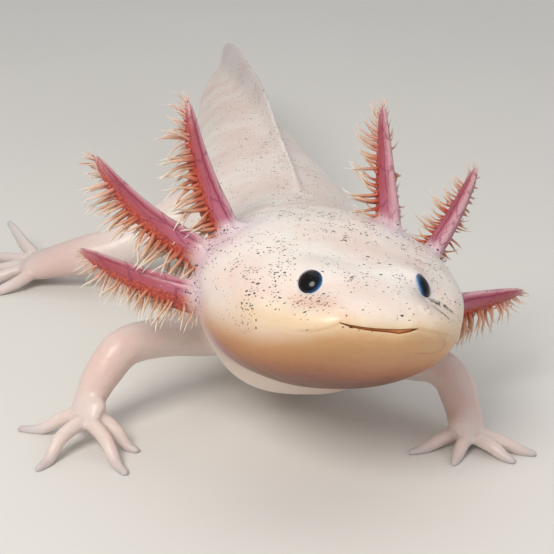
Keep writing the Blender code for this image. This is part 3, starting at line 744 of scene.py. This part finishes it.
def paint(mesh, name, amounts):
    """Keeps an amount at each point of the mesh, which the material reads by name."""
    layer = mesh.attributes.new(name, "FLOAT", "POINT")
    layer.data.foreach_set("value", np.asarray(amounts, np.float32).ravel())

# Patches of black dusting: back, to the left, up in the head's frame, then reach and strength.
DUSTING = (
    ((30.0, -3.0, 9.6), 4.4, 0.99), ((27.0, 3.0, 9.0), 4.6, 1.12), ((23.5, 9.0, 7.4), 4.2, 0.96),
    ((18.0, 12.2, 5.2), 3.6, 0.96), ((36.0, -8.0, 8.0), 3.6, 0.88), ((33.0, -12.0, 6.0), 2.6, 0.48),
    ((16.5, -15.4, 3.4), 3.4, 0.88), ((14.0, -11.5, 4.6), 3.2, 0.80), ((20.0, -10.0, 6.6), 3.6, 0.51),
    ((8.4, -2.2, 4.6), 2.1, 0.99), ((7.6, 3.2, 4.2), 2.3, 0.80), ((13.0, 8.5, 4.6), 2.6, 0.64),
    ((9.8, 12.8, 1.6), 2.4, 0.72), ((11.6, -14.9, -1.0), 2.0, 0.64), ((5.4, -8.2, 2.6), 2.0, 0.96),
    ((12.5, -5.0, 5.4), 2.6, 0.35), ((21.0, 2.0, 8.6), 4.0, 0.38), ((9.5, -12.0, 2.8), 2.2, 0.72),
    ((25.0, -16.0, 1.5), 2.6, 0.88), ((26.5, 13.5, 4.5), 2.6, 0.88), ((12.2, -13.2, 1.2), 2.2, 0.56),
)
# Dark streaks that run down and outward from under the left eye, and the russet patch under the right one.
STREAKS = (((8.0, 8.85, 2.03), (8.05, 9.6, 1.78), (8.3, 10.7, 1.49), (7.5, 11.15, 1.02)),
           ((5.6, 8.3, 1.78), (4.4, 8.55, 1.54), (3.95, 9.1, 1.15)))
RUSSET = ((7.8, -9.4, 2.05), (6.2, -8.5, 2.1), (4.6, -7.7, 2.3), (3.0, -6.9, 2.3))

def painted(mesh):
    """Works out where each tint of the skin lies."""
    places = points_of(mesh)
    outward = normals_of(mesh)
    hs, hx, hz = head_places(places)
    s, left, up, out = body_places(places)
    stalk, stalk_far = nearest(places, STALK_SAMPLES[:, :3])
    limb, limb_far = nearest(places, LIMB_SAMPLES[:, :3])
    digit, digit_far = nearest(places, DIGIT_SAMPLES[:, :3])
    share, half_wide, stalk_number, station = STALK_SAMPLES[stalk, 3:].T
    off_body = ramp(out, 0.3, 2.0)

    # Round each stalk: 0 along its comb, 1 along its front edge.
    walks = list(STALK_WALKS.values())
    combs = np.array([walks[int(n)][int(k)][3] for n, k in zip(stalk_number, station)])
    away = places - STALK_SAMPLES[stalk, :3]
    behind = (away * combs).sum(1) / np.linalg.norm(away, axis=1).clip(1e-6)
    around = np.arccos(behind.clip(-1, 1)) / math.pi
    on_stalk = ramp(half_wide * 2.2 - stalk_far, -0.6, 0.4) * ramp(out, -0.4, 1.8)
    lengths = np.array([row[1] for row in GILLS.values()])[stalk_number.astype(int)]
    paint(mesh, "gill", on_stalk)
    paint(mesh, "gill_comb", 0.95 * (1 - ramp(around, 0.30, 0.50)) * (1 - 0.6 * ramp(share, 0.75, 1.0)))
    # A painted highlight along the front edge of each stalk.
    paint(mesh, "gill_edge", 0.60 * ramp(around, 0.80, 0.95))
    paint(mesh, "gill_along", share)
    gill_map = np.stack([share * lengths + 60.0 * stalk_number, around * half_wide * math.pi, around], 1)
    layer = mesh.attributes.new("gill_map", "FLOAT_VECTOR", "POINT")
    layer.data.foreach_set("vector", gill_map.astype(np.float32).ravel())
    root = hump(stalk_far - half_wide, 2.8) * (share < 0.45) * (1 - on_stalk)
    armpit = hump(away_from(in_head(24.0, -15.0, -9.5), places), 4.0)
    paint(mesh, "violet", np.maximum(0.38 * root, 0.35 * armpit))

    lips = np.interp(hx, [row[1] for row in LIP_GAP], [row[2] for row in LIP_GAP])
    wide = np.abs(hx).clip(4.0, 14.0) - 4.0
    below = lips - 0.12 * wide - hz
    at_jaw = (1 - ramp(hs, 21.0, 30.0)) * (1 - off_body)
    # Towards the jaw's lower edge it darkens to rust: partly its own colour, partly painted shade under the
    # chin.
    under = ramp(below, -0.6, 11.0) * at_jaw
    paint(mesh, "jaw", under)
    paint(mesh, "jaw_share", ramp(below, -1.3, 0.9 + np.where(hx < 0, 0.50, 0.15) * wide) * at_jaw)
    paint(mesh, "lip_warmth", 0.60 * hump(below - 0.2, 1.9) * (1 - ramp(hs, 9.0, 17.0)) * (1 - off_body))
    paint(mesh, "throat", 0.5 * ramp(-up, 3.0, 13.0) * (1 - off_body) * (1 - under))
    paint(mesh, "lips", lip_depth(places)[0])

    dust = np.zeros(len(places))
    for middle, reach, strength in DUSTING:
        dust = np.maximum(dust, strength * hump(away_from(in_head(*middle), places), reach))
    streak = places[np.concatenate([nearest(polyline(rows), places)[0] for rows in STREAKS])]
    streak = hump(nearest(places, streak)[1], 0.46)
    russet = hump(nearest(places, polyline(RUSSET))[1], 1.3)
    nape = 0.30 * hump(left, 4.5) * ramp(up, 2.0, 8.0) * (1 - ramp(s, 60.0, 200.0))
    roots = 0.80 * hump(stalk_far - half_wide, 1.6) * (share < 0.20)
    scattered = 0.10 * ramp(outward[:, 2], 0.0, 0.7) * (1 - off_body)
    few = 1 - on_stalk * ramp(share, 0.0, 0.16)
    paint(mesh, "dust", np.maximum.reduce([dust, nape, scattered, roots, 1.5 * russet]) * few)
    paint(mesh, "streak", streak)

    joints = off_body * (1 - ramp(limb_far, 4.0, 7.0)) * hump(LIMB_SAMPLES[limb, 4] - 0.75, 0.16)
    flanks = hump(np.abs(left) - 5.0, 5.0) * ramp(s, 40.0, 90.0) * (up > 0)
    corner = hump(away_from(in_head(0.7, -5.4, 0.9), places), 1.1)
    paint(mesh, "blush", np.maximum.reduce([0.32 * russet, 0.22 * joints, 0.12 * flanks, 0.35 * corner]))
    paint(mesh, "russet", ramp(russet, 0.05, 0.5))
    # The limbs turn greyer and darker: partly their own paler tone, partly painted shade where the light
    # falls off away from the head.
    at_limb = 1 - ramp(np.minimum(limb_far, digit_far), 6.0, 9.0)
    paint(mesh, "limb", 0.55 * off_body * (1 - on_stalk) * at_limb)

    fin = ramp(np.abs(up) - np.interp(s, SPINE_STEPS, SPINE_SECTIONS[:, 1]), 0.0, 3.0) * ramp(s, 70.0, 130.0)
    tips = (digit_far < 3.0) * ramp(DIGIT_SAMPLES[digit, 4], 0.45, 1.0) * off_body
    paint(mesh, "clear", np.maximum.reduce([0.85 * ramp(s, 165.0, 204.0), 0.45 * fin, 0.60 * tips]))

    # Pale skin on each eye's rim, partly a painted highlight where the raised rim catches the light.
    from_rim = [np.linalg.norm(places - centre - aim * RIM_DEEP, axis=1) - RIM_RADIUS - 0.12
                for centre, aim in EYE_FRAMES.values()]
    paint(mesh, "rim", 0.35 * hump(np.minimum.reduce(np.abs(from_rim)), 0.22))
    # Painted shade: the creases of the cheeks and lips and the nostril pits are darkened where shade falls in
    # them.
    crease = np.minimum.reduce([nearest(places, marks[:, :3])[1] for marks in crease_marks])
    pit = np.minimum.reduce([away_from(middle, places) for middle in nostril_marks])
    paint(mesh, "crease", np.maximum(0.30 * hump(crease, 0.20), 0.7 * hump(pit, 0.28)))
    paint(mesh, "nape", hump(s - 40.0, 8.0) * ramp(up, 0.0, 6.0) * (1 - off_body))

painted(skin_mesh)
skin_mesh.transform(Matrix.Scale(MM, 4))

# Moist and slightly see-through, so that light sinks in and comes back warm, with a thin wet gloss on top.
skin_matter, tree = new_material("moist_leucistic_skin")
where = add_node(tree, "TexCoord", out="Object")
amounts = {name: add_node(tree, "Attribute", {"attribute_name": name}, out="Fac") for name in (
    "throat", "blush", "russet", "limb", "clear", "lip_warmth", "jaw", "jaw_share", "violet", "gill",
    "gill_along", "gill_comb", "gill_edge", "dust", "streak", "rim", "crease", "lips", "nape")}
SMOOTH = {"interpolation_type": "SMOOTHSTEP"}
BLEND = {"data_type": "RGBA"}

# Pale cream over pink flesh, in soft clouds a few millimetres across.
cloud = add_node(tree, "TexNoise", Vector=where, Scale=1 / (11.0 * MM), Detail=3.0)
flesh = add_node(tree, "ValToRGB", {"stops": ((0.30, "#e5d0c6"), (0.50, "#ebe0d8"), (0.70, "#f0ebe5"))},
                 Fac=cloud)
# The jaw: tan under the lips, peach over the chin and rust at the edge of the throat; the darkening towards
# the lower edge is partly its own colour and partly painted shade under the chin.
jaw = add_node(tree, "ValToRGB", {"stops": (
    (0.0, "#dcb98f"), (0.10, "#d1a373"), (0.28, "#cb9a68"), (0.58, "#bd8353"), (0.80, "#a46338"),
    (0.94, "#86451f"), (1.0, "#6e3315"))}, Fac=amounts["jaw"])

# Gill stalks: lavender at the root, rose along the shaft and pale at the tip. Dark vessels run along them, in
# a net of cells about 6 mm long and 1.5 mm wide, beside one main vessel near the front edge.
stalk = add_node(tree, "ValToRGB", {"stops": (
    (0.0, "#c99fb4"), (0.14, "#b56d82"), (0.40, "#a85260"), (0.80, "#9f4c55"), (0.93, "#b37678"),
    (1.0, "#cca9a4"))}, Fac=amounts["gill_along"])
gill_map = add_node(tree, "Attribute", {"attribute_name": "gill_map"}, out="Vector")
sway = add_node(tree, "TexNoise", out="Color", Vector=gill_map, Scale=0.7, Detail=2.0)
sway = add_node(tree, "VectorMath", "MULTIPLY_ADD", _0=sway, _1=(1.6, 0.7, 0.12), _2=gill_map)
net = add_node(tree, "Mapping", Vector=sway, Scale=(1 / 6.0, 1 / 1.5, 1.0))
net = add_node(tree, "TexVoronoi", {"feature": "DISTANCE_TO_EDGE", "voronoi_dimensions": "2D"},
               Vector=net, Scale=1.0)
net = add_node(tree, "MapRange", SMOOTH, _0=net, _1=0.0, _2=0.07, _3=0.55, _4=0.0)
vessel = add_node(tree, "SeparateXYZ", out="Z", Vector=sway)
vessel = add_node(tree, "Math", "SUBTRACT", _0=vessel, _1=0.82)
vessel = add_node(tree, "Math", "ABSOLUTE", _0=vessel)
vessel = add_node(tree, "MapRange", SMOOTH, _0=vessel, _1=0.005, _2=0.05, _3=0.75, _4=0.0)
vessel = add_node(tree, "Math", "MAXIMUM", _0=vessel, _1=net)
# The comb itself is orange red, in grains of 0.3 mm where the filaments are rooted.
grains = add_node(tree, "TexVoronoi", Vector=where, Scale=1 / (0.34 * MM))
grains = add_node(tree, "ValToRGB", {"stops": ((0.1, "#d2694a"), (0.5, "#bb4b35"), (0.8, "#8e3028"))},
                  Fac=grains)
# Over the shaft: the orange comb, a painted highlight along the front edge, and the dark vessels.
for amount, tint in ((amounts["gill_comb"], grains), (amounts["gill_edge"], "#e2bfc6"), (vessel, "#7b2148")):
    stalk = add_node(tree, "Mix", BLEND, out=2, _0=amount, _6=stalk, _7=tint)

# Tints laid over the flesh in order; the limb tint is partly painted shade, and so is the jaw's darker lower
# part.
for name, tint in (("throat", "#ead2be"), ("limb", "#d6c5c0"), ("blush", "#dd8f7e"), ("clear", "#b2aeb5"),
                   ("lip_warmth", "#e7cb98"), ("jaw_share", jaw), ("violet", "#c39fc9"), ("gill", stalk)):
    flesh = add_node(tree, "Mix", BLEND, out=2, _0=amounts[name], _6=flesh, _7=tint)

# Black pigment cells: ragged specks from 0.1 to 0.5 mm across, in clumps, most of them a little drawn out.
# Each size has its cell and widest radius in mm, its darkness, how drawn out it is, and how often it comes.
clump = add_node(tree, "TexNoise", Vector=where, Scale=1 / (2.4 * MM), Detail=3.0)
clump = add_node(tree, "MapRange", SMOOTH, _0=clump, _1=0.38, _2=0.64, _3=0.04, _4=1.9)
sown = add_node(tree, "Math", "MULTIPLY_ADD", _0=amounts["dust"], _1=clump, _2=amounts["streak"])
ragged = add_node(tree, "TexNoise", out="Color", Vector=where, Scale=1 / (0.20 * MM))
ragged = add_node(tree, "VectorMath", "MULTIPLY_ADD", _0=ragged,
                  _1=(0.22 * MM, 0.22 * MM, 0.22 * MM), _2=where)
pigment = add_node(tree, "Mix", BLEND, out=2, _0=amounts["russet"], _6="#1e1718", _7="#6e3226")
for cell_mm, widest_mm, dark, drawn_out, often in ((0.33, 0.14, 0.86, 1.2, 1.3), (0.50, 0.20, 0.94, 1.4, 1.0),
                                                   (0.90, 0.26, 0.94, 1.6, 0.6)):
    laid = add_node(tree, "Mapping", Vector=ragged, Scale=(1 / drawn_out, 1.0, 1.0))
    cells = add_node(tree, "TexVoronoi", Vector=laid, Scale=1 / (cell_mm * MM)).node.outputs
    chance = add_node(tree, "SeparateColor", Color=cells["Color"]).node.outputs
    share = add_node(tree, "Math", "MULTIPLY", _0=sown, _1=often)
    present = add_node(tree, "Math", "LESS_THAN", _0=chance[0], _1=share)
    radius = add_node(tree, "Math", "MULTIPLY_ADD", _0=chance[1],
                      _1=0.6 * widest_mm / cell_mm, _2=0.4 * widest_mm / cell_mm)
    inside = add_node(tree, "Math", "SUBTRACT", _0=radius, _1=cells["Distance"])
    speck = add_node(tree, "MapRange", SMOOTH, _0=inside, _1=0.0, _2=0.11, _4=dark)
    speck = add_node(tree, "Math", "MULTIPLY", _0=speck, _1=present)
    flesh = add_node(tree, "Mix", BLEND, out=2, _0=speck, _6=flesh, _7=pigment)

# The pale rims of the eyes, partly a painted highlight where the raised rim catches the light; painted
# shade in the folds and nostril pits; orange flesh inside the lips with painted shade along the edges of
# their gap; and the broken dark streaks under the left eye.
dashes = add_node(tree, "TexNoise", Vector=ragged, Scale=1 / (0.6 * MM), Detail=2.0)
dashes = add_node(tree, "MapRange", SMOOTH, _0=dashes, _1=0.38, _2=0.50)
dashes = add_node(tree, "Math", "MULTIPLY", _0=dashes, _1=amounts["streak"])
# Inside the lips: painted shade darkens the edges of the gap, with orange flesh deeper in.
mouth = add_node(tree, "MapRange", _0=amounts["lips"], _1=0.0, _2=0.16)
mouth = add_node(tree, "ValToRGB", {"stops": (
    (0.0, "#4c2510"), (0.3, "#8a4520"), (0.7, "#c87a42"), (1.0, "#e0985c"))}, Fac=mouth)
parted = add_node(tree, "MapRange", SMOOTH, _0=amounts["lips"], _1=-0.07, _2=0.02)
for amount, tint in ((amounts["rim"], "#dfe4ec"), (amounts["crease"], "#a8764f"), (parted, mouth),
                     (dashes, "#2c271e")):
    flesh = add_node(tree, "Mix", BLEND, out=2, _0=amount, _6=flesh, _7=tint)

# Soft lumps of 2.5 mm, a moist grain of 0.4 mm with glands between, and hair-thin folds about 1.9 mm apart
# behind the head.
lumps = add_node(tree, "TexNoise", Vector=where, Scale=1 / (2.5 * MM), Detail=1.0)
grain = add_node(tree, "TexNoise", Vector=where, Scale=1 / (0.4 * MM), Detail=3.0)
glands = add_node(tree, "TexVoronoi", {"feature": "SMOOTH_F1"}, Vector=where, Scale=1 / (0.45 * MM))
folds = add_node(tree, "TexWave", {"bands_direction": "Y"}, Vector=where,
                 Scale=1 / (math.tau * 1.9 * MM), Distortion=4.0, Detail=2.0, Detail_Scale=1.5)
folds = add_node(tree, "Math", "MULTIPLY", _0=folds.node.outputs["Fac"], _1=amounts["nape"])
height = add_node(tree, "Math", "MULTIPLY_ADD", _0=folds, _1=3.0, _2=grain)
height = add_node(tree, "Math", "MULTIPLY_ADD", _0=glands, _1=0.8, _2=height)
height = add_node(tree, "Math", "MULTIPLY_ADD", _0=lumps, _1=4.0, _2=height)
bump = add_node(tree, "Bump", Height=height, Distance=0.045 * MM, Strength=0.8)
moist = add_node(tree, "BsdfPrincipled", {"subsurface_method": "RANDOM_WALK"}, Base_Color=flesh,
                 Roughness=0.40, IOR=1.38, Normal=bump, Subsurface_Weight=0.30,
                 Subsurface_Radius=(1.0, 0.45, 0.32), Subsurface_Scale=1.4 * MM, Coat_Weight=0.25,
                 Coat_Roughness=0.22)
add_node(tree, "OutputMaterial", Surface=moist)

skin = new_piece("skin", skin_mesh, skin_matter)
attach(skin, "root")
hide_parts(*[name for name in frame["nodes"] if not name.startswith(("eye_", "gill_"))])

# ---------------------------------------------------------------- eyes
# Two lidless eyes of a clear hard gloss, seated in the skin and only gently crowned: a dark brown pupil that
# almost fills the eye, inside a thin iris that shows blue only close to the rim.

# The way each pupil looks: back, to the side, up.
PUPIL_AIMS = {"right": (-0.33, 0.77, 0.54), "left": (-0.30, 0.90, 0.30)}

eye_matter, tree = new_material("clear_glossy_eyeball")
where = add_node(tree, "TexCoord", out="Object")
off_pupil = add_node(tree, "Attribute", {"attribute_name": "off_pupil"}, out="Fac")
ball = add_node(tree, "ValToRGB", {"stops": (
    (0.0, "#0a0707"), (0.50, "#120d0d"), (0.64, "#0b1320"), (0.75, "#183458"), (0.86, "#3a6898"),
    (0.94, "#a4bbd0"))}, Fac=off_pupil)
fleck = add_node(tree, "TexNoise", Vector=where, Scale=1 / (0.35 * MM), Detail=2.0)
fleck = add_node(tree, "MapRange", _0=fleck, _1=0.60, _2=0.74, _4=0.7)
ball = add_node(tree, "Mix", BLEND, out=2, _0=fleck, _6=ball, _7="#2b2a2c")
glossy = add_node(tree, "BsdfPrincipled", Base_Color=ball, Roughness=0.20, IOR=1.34, Specular_IOR_Level=0.2,
                  Coat_Weight=0.45, Coat_IOR=1.38, Coat_Roughness=0.03)
add_node(tree, "OutputMaterial", Surface=glossy)

for side_name, side in SIDES.items():
    centre, aim = EYE_FRAMES[side_name]
    back, outward, up = PUPIL_AIMS[side_name]
    pupil = unit(HEAD_BACK * back + HEAD_LEFT * side * outward + HEAD_UP * up)
    shape = bmesh.new()
    bmesh.ops.create_icosphere(shape, subdivisions=5, radius=1.0)
    mesh = bpy.data.meshes.new("eyeball")
    shape.to_mesh(mesh)
    shape.free()
    rays = points_of(mesh)
    rays /= np.linalg.norm(rays, axis=1)[:, None]
    off = np.arccos((rays @ pupil).clip(-1, 1))
    flattened = rays - np.outer(rays @ aim, aim) * (1 - EYE_FLAT)
    set_points(mesh, (centre + flattened * EYE_RADIUS) * MM)
    paint(mesh, "off_pupil", off / (math.pi / 2))
    eyeball = new_piece("eyeball_" + side_name, mesh, eye_matter)
    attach(eyeball, "root")
    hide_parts("eye_" + side_name)

# ---------------------------------------------------------------- gill fringes
# Each stalk carries two rows of fine filaments, thin-skinned and full of blood: orange red where they leave
# the stalk and pale, almost clear, at the tip. One tree of nodes sets them along the comb of a stalk.

FILAMENTS = 44                             # in a row
FILAMENT_GIRTH = 0.062                     # a filament's radius at its root, as a share of its length
FRINGE_START = 0.03                        # the share of the stalk that is bare at its root
# Shares of a filament's length, or of a stalk's, with a filament's girth or length there.
FILAMENT_TAPER = ((0.0, 1.0), (0.30, 0.78), (0.65, 0.52), (0.9, 0.26), (1.0, 0.06))
FRINGE_PROFILE = ((0.0, 0.60), (0.12, 0.90), (0.40, 1.0), (0.70, 0.88), (0.90, 0.60), (1.0, 0.38))
# How far a filament leans over towards the stalk's tip and how far it sways; a fringe mixes these shapes.
FILAMENT_BENDS = ((0.10, 0.05), (0.22, -0.06), (-0.10, 0.08), (0.02, 0.11))
# How far a filament may turn out of its row, lean ahead and slip along the stalk in metres, and its length.
FILAMENT_CHANCES = ((-0.20, 0.20), (-0.10, 0.36), (-0.0003, 0.0003), (0.62, 1.05))
ROOT_DEPTH = 0.50                          # where a filament starts, as a share of the comb's depth

def shape_curve(socket, rows):
    """Sets the curve of the node that a socket belongs to."""
    curve = socket.node.mapping.curves[0]
    curve.points[0].location, curve.points[1].location = rows[0], rows[-1]
    for row in rows[1:-1]:
        curve.points.new(*row)
    socket.node.mapping.update()
    return socket

def fringe_tree():
    """The node tree that grows two rows of tapered, curved filaments along a stalk's line."""
    tree = bpy.data.node_groups.new("gill_fringe", "GeometryNodeTree")
    for name, kind in (("Line", "Geometry"), ("Filaments", "Int"), ("Spread", "Float"), ("Length", "Float"),
                       ("Hook", "Float"), ("Girth", "Float"), ("Start", "Float"), ("Seed", "Int"),
                       ("Tissue", "Material")):
        tree.interface.new_socket(name, in_out="INPUT", socket_type="NodeSocket" + kind)
    tree.interface.new_socket("Fringe", in_out="OUTPUT", socket_type="NodeSocketGeometry")
    given = add_node(tree, "NodeGroupInput").node.outputs

    # The filaments' shapes, a unit long and standing up: they lean over towards X and sway towards Y.
    rise = add_node(tree, "GeometryNodeSplineParameter")
    lean = add_node(tree, "Math", "POWER", _0=rise, _1=2.0)
    sway = add_node(tree, "Math", "MULTIPLY", _0=rise, _1=4.4)
    sway = add_node(tree, "Math", "SINE", _0=sway)
    taper = shape_curve(add_node(tree, "FloatCurve", Value=rise), FILAMENT_TAPER)
    wire = add_node(tree, "GeometryNodeCurvePrimitiveCircle", {"mode": "RADIUS"}, Resolution=6,
                    Radius=given["Girth"])
    shapes = add_node(tree, "GeometryNodeGeometryToInstance")
    for far_over, far_out in FILAMENT_BENDS:
        stem = add_node(tree, "GeometryNodeCurvePrimitiveLine", End=(0, 0, 1))
        stem = add_node(tree, "GeometryNodeResampleCurve", Curve=stem, Count=8)
        stem = add_node(tree, "GeometryNodeStoreNamedAttribute", {"data_type": "FLOAT"}, Geometry=stem,
                        Name="from_root", Value=rise)
        over = add_node(tree, "Math", "ADD", _0=given["Hook"], _1=far_over)
        x = add_node(tree, "Math", "MULTIPLY", _0=lean, _1=over)
        y = add_node(tree, "Math", "MULTIPLY", _0=sway, _1=far_out)
        bend = add_node(tree, "CombineXYZ", X=x, Y=y)
        stem = add_node(tree, "GeometryNodeSetPosition", Geometry=stem, Offset=bend)
        filament = add_node(tree, "GeometryNodeCurveToMesh", Curve=stem, Profile_Curve=wire, Scale=taper,
                            Fill_Caps=True)
        tree.links.new(filament, shapes.node.inputs[0])

    # The comb's line, cut to start clear of the head, with a station for each filament.
    line = add_node(tree, "GeometryNodeMeshToCurve", Mesh=given["Line"])
    line = add_node(tree, "GeometryNodeTrimCurve", {"mode": "FACTOR"}, Curve=line, Start=given["Start"])
    line = add_node(tree, "GeometryNodeResampleCurve", Curve=line, Count=given["Filaments"])
    share = add_node(tree, "GeometryNodeSplineParameter")
    line = add_node(tree, "GeometryNodeStoreNamedAttribute", {"data_type": "FLOAT"}, Geometry=line,
                    Name="up_stalk", Value=share)
    tangent = add_node(tree, "GeometryNodeInputTangent")
    comb = add_node(tree, "GeometryNodeInputNamedAttribute", {"data_type": "FLOAT_VECTOR"}, Name="comb")
    depth = add_node(tree, "GeometryNodeInputNamedAttribute", {"data_type": "FLOAT"}, Name="depth")
    profile = shape_curve(add_node(tree, "FloatCurve", Value=share), FRINGE_PROFILE)
    profile = add_node(tree, "Math", "MULTIPLY", _0=profile, _1=given["Length"])
    towards_tip = add_node(tree, "Math", "POWER", _0=share, _1=5.0)

    rows = add_node(tree, "GeometryNodeJoinGeometry")
    for row, side in enumerate((-0.5, 0.5)):
        seeds = [add_node(tree, "Math", "ADD", _0=given["Seed"], _1=float(10 * k + row))
                 for k in range(5)]
        jitter, ahead, slip, long = [
            add_node(tree, "FunctionNodeRandomValue", {"data_type": "FLOAT"}, out=1, _2=low, _3=high,
                     Seed=seed)
            for seed, (low, high) in zip(seeds, FILAMENT_CHANCES)]
        turn = add_node(tree, "Math", "MULTIPLY_ADD", _0=given["Spread"], _1=side, _2=jitter)
        out = add_node(tree, "VectorRotate", {"rotation_type": "AXIS_ANGLE"}, Vector=comb, Axis=tangent,
                       Angle=turn)
        forward = add_node(tree, "Math", "MULTIPLY_ADD", _0=towards_tip, _1=1.3, _2=ahead)
        aim = add_node(tree, "VectorMath", "SCALE", _0=tangent, Scale=forward)
        aim = add_node(tree, "VectorMath", "ADD", _0=out, _1=aim)
        stand = add_node(tree, "FunctionNodeAlignRotationToVector", {"axis": "Z"}, Vector=aim)
        stand = add_node(tree, "FunctionNodeAlignRotationToVector", {"axis": "X", "pivot_axis": "Z"},
                         Rotation=stand, Vector=tangent)
        root = add_node(tree, "Math", "MULTIPLY", _0=depth, _1=ROOT_DEPTH)
        root = add_node(tree, "VectorMath", "SCALE", _0=out, Scale=root)
        slip = add_node(tree, "VectorMath", "SCALE", _0=tangent, Scale=slip)
        root = add_node(tree, "VectorMath", "ADD", _0=root, _1=slip)
        roots = add_node(tree, "GeometryNodeSetPosition", Geometry=line, Offset=root)
        size = add_node(tree, "Math", "MULTIPLY", _0=profile, _1=long)
        which = add_node(tree, "FunctionNodeRandomValue", {"data_type": "INT"}, out=2, _4=0,
                         _5=len(FILAMENT_BENDS) - 1, Seed=seeds[4])
        grown = add_node(tree, "GeometryNodeInstanceOnPoints", Points=roots, Instance=shapes,
                         Pick_Instance=True, Instance_Index=which, Rotation=stand, Scale=size)
        tree.links.new(grown, rows.node.inputs[0])
    solid = add_node(tree, "GeometryNodeRealizeInstances", Geometry=rows)
    solid = add_node(tree, "GeometryNodeSetMaterial", Geometry=solid, Material=given["Tissue"])
    add_node(tree, "NodeGroupOutput", Fringe=solid)
    return tree

# Blood-filled and thin: red-orange where it is thick, through tan to a pale clear tip, and paler on the last
# filaments of a stalk.
filament_matter, tree = new_material("thin_gill_tissue")
where = add_node(tree, "TexCoord", out="Object")
cloud = add_node(tree, "TexNoise", Vector=where, Scale=1 / (1.2 * MM), Detail=2.0)
from_root = add_node(tree, "Attribute", {"attribute_name": "from_root"}, out="Fac")
up_stalk = add_node(tree, "Attribute", {"attribute_name": "up_stalk"}, out="Fac")
paling = add_node(tree, "Math", "MULTIPLY_ADD", _0=cloud, _1=0.5, _2=from_root)
paling = add_node(tree, "Math", "SUBTRACT", _0=paling, _1=0.25)
tissue = add_node(tree, "ValToRGB", {"stops": (
    (0.0, "#b44e3d"), (0.16, "#bd6e54"), (0.36, "#c99a7e"), (0.64, "#dcc2ac"), (1.0, "#efe6dc"))}, Fac=paling)
bleached = add_node(tree, "MapRange", _0=up_stalk, _1=0.55, _2=1.0, _4=0.75)
tissue = add_node(tree, "Mix", BLEND, out=2, _0=bleached, _6=tissue, _7="#dfc3b9")
thin = add_node(tree, "BsdfPrincipled", {"subsurface_method": "RANDOM_WALK"}, Base_Color=tissue,
                Roughness=0.36, IOR=1.38, Subsurface_Weight=0.4, Subsurface_Radius=(1.0, 0.4, 0.25),
                Subsurface_Scale=0.8 * MM)
add_node(tree, "OutputMaterial", Surface=thin)

growing = fringe_tree()
sockets = {item.name: item.identifier for item in growing.interface.items_tree if item.in_out == "INPUT"}
for number, (name, walk) in enumerate(STALK_WALKS.items()):
    stations = walk[1:]
    mesh = bpy.data.meshes.new("fringe_" + name)
    mesh.from_pydata([place * MM for _, place, _, _ in stations],
                     [(k, k + 1) for k in range(len(stations) - 1)], [])
    combs = np.array([comb for _, _, _, comb in stations], np.float32)
    mesh.attributes.new("comb", "FLOAT_VECTOR", "POINT").data.foreach_set("vector", combs.ravel())
    paint(mesh, "depth", [along(STALK, t)[2] * MM for t, _, _, _ in stations])
    carrier = carried(mesh)
    modifier = carrier.modifiers.new("fringe", "NODES")
    modifier.node_group = growing
    for socket, value in (("Filaments", FILAMENTS), ("Spread", math.radians(GILLS[name][5])),
                          ("Length", GILLS[name][6] * MM), ("Hook", GILLS[name][7]),
                          ("Girth", FILAMENT_GIRTH), ("Start", FRINGE_START), ("Seed", 100 * (number + 1)),
                          ("Tissue", filament_matter)):
        modifier[sockets[socket]] = value
    made = worked(carrier)
    set_points(made, np.clip(points_of(made), *cad_box))
    fringe = new_piece("fringe_" + name, made, filament_matter)
    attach(fringe, "root")
    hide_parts("gill_" + name)
